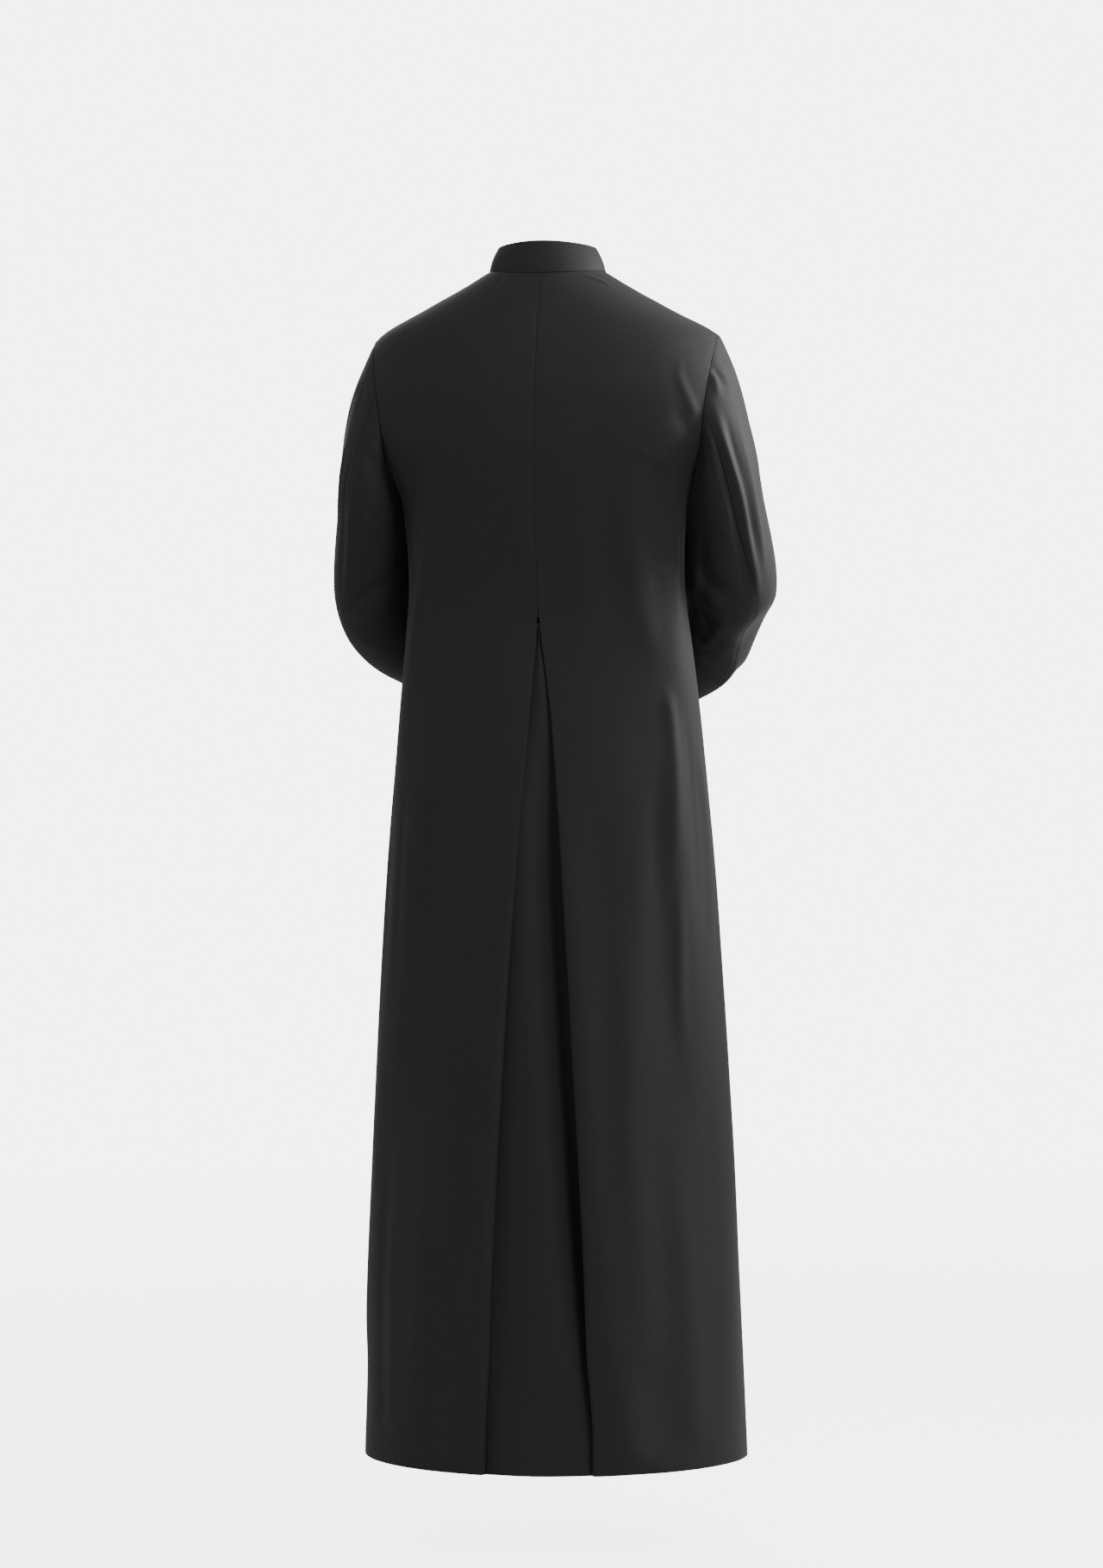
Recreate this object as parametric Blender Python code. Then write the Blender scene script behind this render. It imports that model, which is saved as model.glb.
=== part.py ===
"""A black clergy cassock in the hollow shape it has when worn, with the arms bent to the front.

It has a standing band collar, a buttoned front whose left side laps over the right, set-in sleeves of
two pieces each, and a centre back seam that opens at the waist into an inverted pleat.
Metres, +Z up. The front faces -Y, the wearer's left is +X, and the origin is the middle of the neck
at the height of its sides, which is where the garment hangs on the shoulders.
"""

import math
from types import SimpleNamespace

import bmesh
import bpy
from mathutils import Vector

# Cloth
CLOTH = 0.0016
COLLAR_CLOTH = 0.0026
SEAM_GAP = 0.0003

# Lengths down the body, as heights from the origin
HEM = -1.482
NECK = 0.0
PLEAT_TOP = -0.434

# Body sections: level is the height at the side, widest_y is where the section is widest from side to
# side, back_y and front_y are where it meets the centre back and centre front, and a squareness is 2
# for an ellipse and more for fuller corners. The same ring of cloth runs lower than at the side by
# back_drop at the centre back and by front_drop at the centre front.
BODY_COLUMNS = (
    "level", "half_width", "widest_y", "back_y", "front_y",
    "back_square", "front_square", "back_drop", "front_drop",
)
BODY_SECTIONS = (
    (0.000, 0.0735, 0.000, 0.066, -0.078, 2.00, 2.00, 0.008, 0.083),
    (-0.012, 0.0925, 0.000, 0.078, -0.085, 2.00, 2.00, 0.009, 0.085),
    (-0.028, 0.1185, 0.000, 0.089, -0.092, 2.00, 2.00, 0.009, 0.084),
    (-0.052, 0.1610, 0.000, 0.101, -0.100, 2.10, 2.05, 0.008, 0.080),
    (-0.083, 0.2125, 0.002, 0.112, -0.108, 2.20, 2.15, 0.006, 0.072),
    (-0.120, 0.2290, 0.006, 0.119, -0.113, 2.40, 2.35, 0.004, 0.060),
    (-0.165, 0.2305, 0.010, 0.124, -0.118, 2.60, 2.45, 0.002, 0.045),
    (-0.210, 0.2220, 0.014, 0.124, -0.122, 2.60, 2.40, 0.000, 0.030),
    (-0.250, 0.1970, 0.019, 0.121, -0.124, 2.50, 2.20, 0.000, 0.018),
    (-0.285, 0.1805, 0.024, 0.117, -0.124, 2.40, 2.05, 0.000, 0.009),
    (-0.345, 0.1740, 0.030, 0.108, -0.120, 2.30, 2.00, 0.000, 0.000),
    (-0.390, 0.1730, 0.030, 0.101, -0.116, 2.20, 2.00, 0.000, 0.000),
    (-0.440, 0.1780, 0.028, 0.098, -0.114, 2.15, 2.00, 0.000, 0.000),
    (-0.520, 0.1870, 0.020, 0.104, -0.119, 2.10, 2.00, 0.000, 0.000),
    (-0.620, 0.1965, 0.012, 0.116, -0.128, 2.10, 2.00, 0.000, 0.000),
    (-0.740, 0.2050, 0.006, 0.127, -0.137, 2.05, 2.00, 0.000, 0.000),
    (-0.900, 0.2150, 0.000, 0.141, -0.149, 2.00, 2.00, 0.000, 0.000),
    (-1.100, 0.2255, 0.000, 0.158, -0.163, 1.95, 2.00, 0.000, 0.000),
    (-1.300, 0.2345, 0.000, 0.174, -0.177, 1.92, 1.95, 0.000, 0.000),
    (-1.482, 0.2415, 0.000, 0.187, -0.189, 1.90, 1.95, 0.000, 0.000),
)

# Drape folds of the body, mirrored to both sides: a soft ridge runs from one point to another, each
# given by its level and its turn in degrees from the side (90 is centre back, -90 centre front), and
# stands out by rise and spreads over width, in degrees.
FOLD_COLUMNS = ("from_level", "from_turn", "to_level", "to_turn", "rise", "width")
BODY_FOLDS = (
    (-0.20, 50, -0.52, 42, 0.0050, 9),
    (-0.30, 32, -0.60, 24, 0.0045, 8),
    (-0.50, 38, -1.05, 30, 0.0070, 9),
    (-0.75, 16, -1.40, 12, 0.0060, 8),
    (-0.80, 62, -1.45, 60, 0.0060, 8),
    (-0.60, -28, -1.30, -24, 0.0080, 9),
    (-0.75, -55, -1.45, -52, 0.0070, 9),
    (-0.24, -42, -0.50, -36, 0.0040, 9),
)

# Armhole: the plane that cuts it from the body, as the plane's x at the shoulder point and its slope
SHOULDER_POINT = (0.2130, -0.083)
ARMHOLE_SLOPE = 0.11

# The arms' paths, both given as on the wearer's left: the middle of the sleeve at the biceps, the corner
# of the elbow and the middle of the cuff. The right elbow is held a little higher and its cuff lower.
ARM_COLUMNS = ("side", "biceps", "elbow", "wrist")
ARM_PATHS = (
    ("left", (0.2245, 0.004, -0.287), (0.2270, -0.060, -0.435), (0.0660, -0.240, -0.545)),
    ("right", (0.2245, 0.004, -0.287), (0.2275, -0.060, -0.419), (0.0660, -0.240, -0.557)),
)
ELBOW_RADIUS = 0.075
# How far a sleeve's head springs out of the armhole per unit that it falls, at the underarm and at the
# shoulder point
CAP_SPRING = (0.25, 0.48)
# Half widths of the sleeve along that path: reach is the share of the way from biceps to wrist, out is
# the half width away from the body and across the half width from front to back.
SLEEVE_COLUMNS = ("reach", "out", "across")
SLEEVE_SECTIONS = (
    (0.00, 0.0440, 0.0740),
    (0.12, 0.0520, 0.0680),
    (0.25, 0.0565, 0.0620),
    (0.40, 0.0570, 0.0570),
    (0.60, 0.0500, 0.0520),
    (0.80, 0.0465, 0.0480),
    (1.00, 0.0440, 0.0450),
)
# Drape folds of a sleeve: the same idea, with reach along the path and turn in degrees round the
# sleeve (0 is away from the body, 90 behind, 180 towards the body).
SLEEVE_FOLDS = (
    (0.18, 150, 0.36, 80, 0.0050, 16),
    (0.34, 165, 0.47, 90, 0.0055, 15),
    (0.50, 160, 0.58, 100, 0.0045, 14),
    (0.36, 255, 0.50, 320, 0.0045, 16),
)
# The hind and fore seams of each two-piece sleeve, as turns in degrees at a reach, which is below 0 over
# the cap. The left arm is turned a little further round than the right.
SEAM_COLUMNS = ("reach", "hind", "fore")
SLEEVE_SEAMS = {
    "left": (
        (-1.0, 80, -120),
        (-0.4, 64, -124),
        (0.00, 54, -128),
        (0.40, 40, -136),
        (1.00, 40, -140),
    ),
    "right": (
        (-1.0, 100, -100),
        (-0.4, 80, -110),
        (0.00, 66, -118),
        (0.40, 50, -128),
        (1.00, 50, -130),
    ),
}

# Centre back pleat: half of the opening at the hem and how quickly it opens, then, each at the top and at
# the hem, how far its edges turn under and the radius of the roll where they turn. The underlay bellies
# out between the rolls by a share of that radius. The seam is tacked shut a little above the pleat.
PLEAT_HALF_OPENING = 0.0675
PLEAT_CURVE = 1.6
PLEAT_RETURN = (0.022, 0.068)
PLEAT_RETURN_CURVE = 0.7
PLEAT_ROLL = (0.0021, 0.0065)
PLEAT_BULGE = 0.9
PLEAT_TACK = 0.010

# Front closing: how far each front runs past the centre, and between which distances from the centre
# the upper front rises to lie on the under one
FRONT_LAP = 0.020
LAP_RISE = (0.052, 0.024)
BUTTON_COUNT = 20
BUTTON_TOP = -0.112
BUTTON_PITCH = 0.060
BUTTON_RADIUS = 0.0078
BUTTON_HEIGHT = 0.0050
BUTTON_SHANK = 0.0005
BUTTON_SIDES = 8
# A button's profile from its flat underside to the top of its dome, as shares of radius and height
BUTTON_PROFILE = ((0.0, 0.0), (0.9, 0.0), (1.0, 0.35), (0.68, 0.85), (0.0, 1.0))

# Collar: its height at the back, the side and the front, how far it leans in at the top, and the share of
# that lean that grows towards the top
COLLAR_BACK = 0.041
COLLAR_SIDE = 0.030
COLLAR_FRONT = 0.036
COLLAR_LEAN = 0.0115
COLLAR_LEAN_CURVE = 0.65
COLLAR_FRONT_GAP = 0.0006

# How finely the cloth is divided
PANEL_COLUMNS = 12
SHOULDER_ROWS = 6
ARMHOLE_ROWS = 9
WAIST_ROWS = 6
SKIRT_ROWS = 13
ROLL_STEPS = 4
RETURN_STEPS = 3
UNDERLAY_STEPS = 3
CAP_ROWS = 5
ARM_ROWS = 13
TOP_SLEEVE_COLUMNS = 10
UNDER_SLEEVE_COLUMNS = 8
COLLAR_ROWS = 3

BLACK_CLOTH = (0.020, 0.020, 0.021)


# Small sums

def ease(share):
    """0 to 1, starting and ending level."""
    share = min(1.0, max(0.0, share))
    return share * share * (3 - 2 * share)


def mix(a, b, share):
    return a + (b - a) * share


def solve(func, low, high, steps=44):
    """Where func changes sign between low and high."""
    sign = func(low) > 0
    for _ in range(steps):
        middle = (low + high) / 2
        if (func(middle) > 0) == sign:
            low = middle
        else:
            high = middle
    return (low + high) / 2


def slopes(places, values):
    """Slopes for a smooth curve through the values that never overshoots them."""
    steps = [(values[i + 1] - values[i]) / (places[i + 1] - places[i]) for i in range(len(places) - 1)]
    inner = [
        0.0 if a * b <= 0 else 2 * a * b / (a + b)
        for a, b in zip(steps, steps[1:])
    ]
    return [steps[0], *inner, steps[-1]]


class Table:
    """A short table with named columns, read smoothly between its rows."""

    def __init__(self, columns, rows):
        rows = sorted(rows)
        self.places = [row[0] for row in rows]
        self.columns = {}
        for number, name in enumerate(columns[1:], start=1):
            values = [row[number] for row in rows]
            self.columns[name] = (values, slopes(self.places, values))
        self.known = {}

    def at(self, place):
        key = round(place, 7)
        if key not in self.known:
            self.known[key] = self.read(place)
        return self.known[key]

    def read(self, place):
        place = min(self.places[-1], max(self.places[0], place))
        i = 0
        while i < len(self.places) - 2 and place > self.places[i + 1]:
            i += 1
        span = self.places[i + 1] - self.places[i]
        t = (place - self.places[i]) / span
        found = {}
        for name, (values, slope) in self.columns.items():
            found[name] = (
                values[i] * (1 + 2 * t) * (1 - t) ** 2
                + values[i + 1] * t * t * (3 - 2 * t)
                + span * slope[i] * t * (1 - t) ** 2
                - span * slope[i + 1] * t * t * (1 - t)
            )
        return SimpleNamespace(**found)


BODY = Table(BODY_COLUMNS, BODY_SECTIONS)
SLEEVE = Table(SLEEVE_COLUMNS, SLEEVE_SECTIONS)
FOLDS = [SimpleNamespace(**dict(zip(FOLD_COLUMNS, row))) for row in BODY_FOLDS]
ARM_FOLDS = [SimpleNamespace(**dict(zip(FOLD_COLUMNS, row))) for row in SLEEVE_FOLDS]


def ridge(fold, level, turn):
    """How far one fold lifts the cloth at this level and turn."""
    share = (level - fold.from_level) / (fold.to_level - fold.from_level)
    if not 0 < share < 1:
        return 0.0
    off = (turn - mix(fold.from_turn, fold.to_turn, share)) / fold.width
    return fold.rise * math.exp(-off * off) * math.sin(math.pi * share) ** 0.8


# The form of the body

def bare_body_point(level, turn):
    """The body's outer face. turn is in degrees from the wearer's left side, through the centre back."""
    s = BODY.at(level)
    angle = math.radians(turn)
    across, along = math.cos(angle), math.sin(angle)
    behind = along >= 0
    square = s.back_square if behind else s.front_square
    depth = s.back_y - s.widest_y if behind else s.widest_y - s.front_y
    scale = (abs(across) ** square + abs(along) ** square) ** (-1 / square)
    side = turn if -90 <= turn <= 90 else (180 - turn if turn > 90 else -180 - turn)
    lift = sum(ridge(fold, level, side) for fold in FOLDS)
    out = Vector((across / s.half_width, along / depth, 0)).normalized() * lift
    return Vector((
        s.half_width * across * scale + out.x,
        s.widest_y + depth * along * scale + out.y,
        level - (s.back_drop if behind else s.front_drop) * along * along,
    ))


def body_normal(level, turn, step=0.004, swing=0.6):
    low, high = max(HEM, level - step), min(NECK, level + step)
    up = bare_body_point(high, turn) - bare_body_point(low, turn)
    round_it = bare_body_point(level, turn + swing) - bare_body_point(level, turn - swing)
    return round_it.cross(up).normalized()


def body_point(level, turn, out=0.0):
    """A point of the body's cloth, moved out from its outer face."""
    point = bare_body_point(level, turn)
    return point + body_normal(level, turn) * out if out else point


def turn_at_x(level, x, behind=True):
    """The turn at which the body's section reaches this x, on its back or its front half."""
    sign = 1 if behind else -1
    return solve(lambda turn: bare_body_point(level, sign * turn).x - x, 0.0, 130.0) * sign


# The armholes

def beyond_armhole(point):
    """How far a point lies outside the armhole's plane, on the wearer's left."""
    return point.x - SHOULDER_POINT[0] - ARMHOLE_SLOPE * (point.z - SHOULDER_POINT[1])


ARMHOLE_OUT = Vector((1.0, 0.0, -ARMHOLE_SLOPE)).normalized()
ARMHOLE_TOP = solve(lambda level: beyond_armhole(bare_body_point(level, 0)), -0.100, -0.060)
ARMHOLE_FOOT = solve(lambda level: beyond_armhole(bare_body_point(level, 0)), -0.200, -0.320)


def armhole_turn(level, behind):
    """Where the armhole's edge crosses this level, behind or in front."""
    sign = 1 if behind else -1
    if not ARMHOLE_FOOT + 1e-6 < level < ARMHOLE_TOP - 1e-6:
        return 0.0
    return solve(lambda turn: beyond_armhole(bare_body_point(level, sign * turn)), 0.0, 85.0) * sign


def armhole_place(turn):
    """Level and body turn of the armhole's edge: 0 is the shoulder point, 90 behind, 180 the underarm."""
    angle = math.radians(turn)
    level = mix(ARMHOLE_FOOT, ARMHOLE_TOP, (1 + math.cos(angle)) / 2)
    return level, armhole_turn(level, math.sin(angle) > 0)


# The form of a sleeve

def rotation(axis, angle):
    """A function that turns a vector about an axis."""
    def turned(vector):
        along = axis * axis.dot(vector)
        return along + (vector - along) * math.cos(angle) + axis.cross(vector) * math.sin(angle)
    return turned


def arm_path(side, biceps, elbow, wrist):
    """An arm's path from biceps to wrist: its two runs' directions, the bend between them and the seams."""
    biceps, elbow, wrist = Vector(biceps), Vector(elbow), Vector(wrist)
    upper, fore = (elbow - biceps).normalized(), (wrist - elbow).normalized()
    bend = upper.angle(fore)
    cut = ELBOW_RADIUS * math.tan(bend / 2)
    start, end = elbow - upper * cut, elbow + fore * cut
    lengths = ((start - biceps).length, ELBOW_RADIUS * bend, (wrist - end).length)
    return SimpleNamespace(
        biceps=biceps, upper=upper, fore=fore, hinge=upper.cross(fore).normalized(), bend=bend,
        start=start, end=end, lengths=lengths, seams=Table(SEAM_COLUMNS, SLEEVE_SEAMS[side]),
    )


ARMS = {row[0]: arm_path(**dict(zip(ARM_COLUMNS, row))) for row in ARM_PATHS}


def arm_frame(arm, reach):
    """Centre, out and across of the sleeve's section at a share of the way from biceps to wrist."""
    gone = reach * sum(arm.lengths)
    first, second, _ = arm.lengths
    turned = min(1.0, max(0.0, (gone - first) / second)) * arm.bend
    spin = rotation(arm.hinge, turned)
    if gone <= first:
        centre = arm.biceps + arm.upper * gone
    elif gone <= first + second:
        inward = arm.hinge.cross(arm.upper)
        centre = arm.start + inward * ELBOW_RADIUS * (1 - math.cos(turned))
        centre += arm.upper * ELBOW_RADIUS * math.sin(turned)
    else:
        centre = arm.end + arm.fore * (gone - first - second)
    side = Vector((1, 0, 0))
    out = spin((side - arm.upper * side.dot(arm.upper)).normalized())
    return centre, out, out.cross(spin(arm.upper)).normalized()


def tube_point(arm, reach, turn):
    """The sleeve's outer face between biceps and wrist."""
    s = SLEEVE.at(reach)
    centre, out, across = arm_frame(arm, reach)
    angle = math.radians(turn)
    lift = sum(ridge(fold, reach, turn % 360) for fold in ARM_FOLDS)
    return centre + out * (s.out + lift) * math.cos(angle) + across * (s.across + lift) * math.sin(angle)


def cap_point(arm, share, turn):
    """The sleeve's outer face over the shoulder: share is 0 at the armhole and 1 at the biceps."""
    level, body_turn = armhole_place(turn)
    begin = bare_body_point(level, body_turn) + ARMHOLE_OUT * SEAM_GAP
    end = tube_point(arm, 0.0, turn)
    reach = (end - begin).length
    over = (1 + math.cos(math.radians(turn))) / 2
    leave = (ARMHOLE_OUT * mix(*CAP_SPRING, over) + Vector((0, 0, -1))).normalized()
    return (
        begin * ((1 + 2 * share) * (1 - share) ** 2)
        + end * (share * share * (3 - 2 * share))
        + leave * (reach * share * (1 - share) ** 2)
        - arm.upper * (reach * share * share * (1 - share))
    )


def bare_sleeve_point(arm, reach, turn):
    """The sleeve's outer face: reach is -1 at the armhole, 0 at the biceps and 1 at the wrist."""
    return tube_point(arm, reach, turn) if reach >= 0 else cap_point(arm, 1 + reach, turn)


def sleeve_normal(arm, reach, turn, step=0.02, swing=1.5):
    low, high = max(-1.0, reach - step), min(1.0, reach + step)
    along = bare_sleeve_point(arm, high, turn) - bare_sleeve_point(arm, low, turn)
    round_it = bare_sleeve_point(arm, reach, turn + swing) - bare_sleeve_point(arm, reach, turn - swing)
    return along.cross(round_it).normalized()


def sleeve_inner_point(arm, reach, turn):
    """The sleeve's inner face. Its edge at the armhole is cut to match the body's edge where they meet."""
    normal = sleeve_normal(arm, reach, turn)
    if reach == -1:
        body = body_normal(*armhole_place(turn))
        lean = (normal - body).dot(ARMHOLE_OUT)
        normal = normal.lerp(body, ease(1 + 2 * lean)).normalized()
    return bare_sleeve_point(arm, reach, turn) - normal * CLOTH


# Making solids

def cloth_material(name, colour, roughness):
    material = bpy.data.materials.new(name)
    material.use_nodes = True
    shader = material.node_tree.nodes["Principled BSDF"]
    shader.inputs["Base Color"].default_value = (*colour, 1.0)
    shader.inputs["Roughness"].default_value = roughness
    shader.inputs["Metallic"].default_value = 0.0
    return material


def keep(name, bm, material, mirrored=False):
    """Links a finished mesh as one named object, mirrored to the wearer's right if asked."""
    if mirrored:
        bmesh.ops.scale(bm, vec=(-1, 1, 1), verts=bm.verts)
        bmesh.ops.reverse_faces(bm, faces=bm.faces)
    mesh = bpy.data.meshes.new(name)
    bm.to_mesh(mesh)
    bm.free()
    mesh.shade_smooth()
    mesh.set_sharp_from_angle(angle=math.radians(40))
    mesh.materials.append(material)
    obj = bpy.data.objects.new(name, mesh)
    bpy.context.scene.collection.objects.link(obj)
    return obj


def halves(bm, corners):
    """The two triangles of a cell, split from its first corner to its third."""
    a, b, c, d = corners
    return [bm.faces.new((a, b, c)), bm.faces.new((a, c, d))]


def cloth_wall(outer, inner, flip_from=None):
    """A closed wall between two sheets of matching rows, which may gain points at their ends.

    Each cell's diagonal runs down towards the row's end, or towards its start from column flip_from on.
    The edges' diagonals all rise inward, so that two pieces face each other evenly across a seam.
    """
    bm = bmesh.new()
    sheets = [[[bm.verts.new(point) for point in row] for row in rows] for rows in (outer, inner)]
    partner = {a: b for rows in zip(*sheets) for a, b in zip(*rows)}
    skin = []
    for above, below in zip(sheets[0], sheets[0][1:]):
        for j in range(min(len(above), len(below)) - 1):
            corners = (above[j], below[j], below[j + 1], above[j + 1])
            if flip_from is not None and j >= flip_from:
                corners = corners[1:] + corners[:1]
            skin += halves(bm, corners)
    for face in skin:
        bm.faces.new([partner[vert] for vert in reversed(face.verts)])
    for edge in [edge for edge in bm.edges if edge.is_boundary and edge.verts[0] in partner]:
        loop = edge.link_loops[0]
        a, b = loop.vert, loop.link_loop_next.vert
        corners = (b, a, partner[a], partner[b])
        halves(bm, corners if a.co.z > b.co.z else corners[1:] + corners[:1])
    bmesh.ops.recalc_face_normals(bm, faces=bm.faces)
    return bm


def body_levels():
    """The heights of the rows of cloth above the pleat and beside it, each at the side and at the centre.

    At the side they follow the armhole, close at its top and foot, and at the centre they are even.
    """
    top = NECK - SEAM_GAP
    side = [mix(top, ARMHOLE_TOP, i / SHOULDER_ROWS) for i in range(SHOULDER_ROWS)]
    side += [armhole_place(180 * i / ARMHOLE_ROWS)[0] for i in range(ARMHOLE_ROWS)]
    side += [mix(ARMHOLE_FOOT, PLEAT_TOP + PLEAT_TACK, i / WAIST_ROWS) for i in range(WAIST_ROWS + 1)]
    last = len(side) - 1
    above = [(level, mix(top, side[-1], i / last)) for i, level in enumerate(side)]
    skirt = [mix(PLEAT_TOP, HEM, i / SKIRT_ROWS) for i in range(SKIRT_ROWS + 1)]
    return above, [(level, level) for level in skirt]


def seam_turn(level, behind):
    """Where a panel ends at the side: the shoulder seam, the armhole or the side seam."""
    turn = armhole_turn(level, behind)
    if turn == 0.0:
        half_gap = math.degrees(SEAM_GAP / 2 / (BODY.at(level).back_y - BODY.at(level).widest_y))
        turn = half_gap if behind else -half_gap
    return turn


def panel_places(levels, turns):
    """(level, turn) of each column of a row that runs between its height at the side and at the centre."""
    side, centre = levels
    start, end = abs(turns[0]), abs(turns[-1])
    return [(mix(side, centre, ease((abs(turn) - start) / (end - start))), turn) for turn in turns]


# The pleat at the centre back

def pleat_share(level):
    return min(1.0, max(0.0, (PLEAT_TOP - level) / (PLEAT_TOP - HEM)))


def pleat_sizes(level):
    share = pleat_share(level)
    return SimpleNamespace(
        half_opening=PLEAT_HALF_OPENING * (1 - (1 - share) ** PLEAT_CURVE),
        roll=mix(*PLEAT_ROLL, share),
        turned_under=mix(*PLEAT_RETURN, share ** PLEAT_RETURN_CURVE),
    )


def pleat_edge(level):
    """(distance from the fold, depth) pairs for the two faces of the cloth that rolls and turns under."""
    p = pleat_sizes(level)
    inner_roll = p.roll - CLOTH
    pairs = []
    for i in range(1, ROLL_STEPS + 1):
        angle = math.pi * i / ROLL_STEPS
        s, c = math.sin(angle), math.cos(angle)
        outer = (p.roll * (1 - s), p.roll * (1 - c))
        inner = (p.roll - inner_roll * s, p.roll - inner_roll * c)
        pairs.append((outer, inner))
    for i in range(1, RETURN_STEPS + 1):
        along = p.roll + p.turned_under * i / RETURN_STEPS
        pairs.append(((along, 2 * p.roll), (along, 2 * p.roll - CLOTH)))
    return p.half_opening + SEAM_GAP / 2, pairs


def behind_point(level, x, depth):
    """A point at this x on the body's back, this deep under its outer face."""
    return body_point(level, turn_at_x(level, x), -depth)


def back_places(levels, edge):
    """(level, turn) of each column of a back's row, from the side to an edge near the centre."""
    start, end = seam_turn(levels[0], behind=True), turn_at_x(levels[1], edge)
    return panel_places(levels, [mix(start, end, j / PANEL_COLUMNS) for j in range(PANEL_COLUMNS + 1)])


def back_rows():
    """The outer and inner faces of the wearer's left back, from the side to the centre."""
    outer, inner = [], []
    above, below = body_levels()
    for levels in above:
        places = back_places(levels, SEAM_GAP / 2)
        outer.append([body_point(*place) for place in places])
        inner.append([body_point(*place, -CLOTH) for place in places])
    for levels in below:
        level = levels[1]
        fold, pairs = pleat_edge(level)
        places = back_places(levels, fold + pleat_sizes(level).roll)
        outer.append(
            [body_point(*place) for place in places]
            + [behind_point(level, fold + along, depth) for (along, depth), _ in pairs]
        )
        inner.append(
            [body_point(*place, -CLOTH) for place in places]
            + [behind_point(level, fold + along, depth) for _, (along, depth) in pairs]
        )
    return outer, inner


def underlay_rows():
    """The two faces of the pleat's underlay, which lies on the turned-under edges and bellies out."""
    outer, inner = [], []
    for _, level in body_levels()[1]:
        p = pleat_sizes(level)
        fold = p.half_opening + SEAM_GAP / 2
        half = [fold * i / UNDERLAY_STEPS for i in range(UNDERLAY_STEPS)]
        half += [fold + p.roll + p.turned_under * i / RETURN_STEPS for i in range(RETURN_STEPS + 1)]
        rows = ([], [])
        for x in [-x for x in reversed(half[1:])] + half:
            inside = 1 - min(1.0, abs(x) / fold) ** 2
            depth = 2 * p.roll + SEAM_GAP - PLEAT_BULGE * p.roll * inside
            for row, more in zip(rows, (0.0, CLOTH)):
                point = behind_point(level, abs(x), depth + more)
                row.append(Vector((math.copysign(point.x, x), point.y, point.z)))
        outer.append(rows[0])
        inner.append(rows[1])
    return outer, inner


# The fronts

def lap_lift(x):
    """How far the upper front is raised above the under front at this x."""
    return (CLOTH + SEAM_GAP) * ease((LAP_RISE[0] - x) / (LAP_RISE[0] - LAP_RISE[1]))


def front_places(levels):
    """(level, turn) of each column of a front's row: four within the lap, and the rest out to the side."""
    side, centre = levels
    lap = [turn_at_x(centre, FRONT_LAP * i / 2, behind=False) for i in range(-2, 3)]
    rest = PANEL_COLUMNS - 4
    end = seam_turn(side, behind=False)
    inward = [mix(end, lap[-1], j / rest) for j in range(rest + 1)]
    return [(centre, turn) for turn in lap[:-1]] + panel_places(levels, inward)[::-1]


def front_rows(lift):
    """The outer and inner faces of the wearer's left front, from its far edge past the centre to the side."""
    outer, inner = [], []
    above, below = body_levels()
    for levels in above + below:
        places = front_places(levels)
        raised = [lift(bare_body_point(*place).x) for place in places]
        outer.append([body_point(*place, up) for place, up in zip(places, raised)])
        inner.append([body_point(*place, up - CLOTH) for place, up in zip(places, raised)])
    return outer, inner


def button(number, front, material):
    """A small domed button, seated on the outer face of the front where it crosses the centre."""
    height = BUTTON_TOP - BUTTON_PITCH * number
    _, seat, normal, _ = front.ray_cast(Vector((0, -1, height)), Vector((0, 1, 0)))
    bm = bmesh.new()
    verts = [bm.verts.new((out * BUTTON_RADIUS, 0, up * BUTTON_HEIGHT)) for out, up in BUTTON_PROFILE]
    edges = [bm.edges.new(pair) for pair in zip(verts, verts[1:])]
    bmesh.ops.spin(
        bm, geom=verts + edges, cent=(0, 0, 0), axis=(0, 0, 1), angle=2 * math.pi,
        steps=BUTTON_SIDES, use_merge=True,
    )
    bmesh.ops.remove_doubles(bm, verts=bm.verts, dist=1e-6)
    bmesh.ops.recalc_face_normals(bm, faces=bm.faces)
    obj = keep(f"button_{number + 1:02d}", bm, material)
    obj.rotation_mode = "QUATERNION"
    obj.rotation_quaternion = normal.to_track_quat("Z", "X")
    obj.location = seat + normal * BUTTON_SHANK


# The collar

def collar_point(turn, share, out=0.0):
    """The collar's outer face: share is 0 at the neck seam and 1 at its top edge."""
    angle = math.radians(turn)
    foot = bare_body_point(NECK, turn)
    end_height = COLLAR_BACK if math.sin(angle) > 0 else COLLAR_FRONT
    height = mix(COLLAR_SIDE, end_height, math.sin(angle) ** 2)
    away = Vector((foot.x, foot.y, 0)).normalized()
    lean = COLLAR_LEAN * mix(share, share ** 2, COLLAR_LEAN_CURVE)
    return foot + Vector((0, 0, height * share)) - away * (lean - out)


def collar_rows():
    """The collar's two faces, from the centre front round the back to the centre front again."""
    start = turn_at_x(NECK, COLLAR_FRONT_GAP / 2, behind=False)
    half = [start] + [turn for _, turn in front_places((NECK, NECK))[3:-1]] + [0.0]
    half += [turn for _, turn in back_places((NECK, NECK), SEAM_GAP / 2)[1:-1]] + [90.0]
    turns = half + [180 - turn for turn in reversed(half[:-1])]
    shares = [i / COLLAR_ROWS for i in range(COLLAR_ROWS, -1, -1)]
    return [
        [[collar_point(turn, share, out) for turn in turns] for share in shares]
        for out in (0.0, -COLLAR_CLOTH)
    ]


# The sleeves

def sleeve_reaches():
    cap = [i / CAP_ROWS - 1 for i in range(CAP_ROWS)]
    return cap + [i / ARM_ROWS for i in range(ARM_ROWS + 1)]


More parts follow.
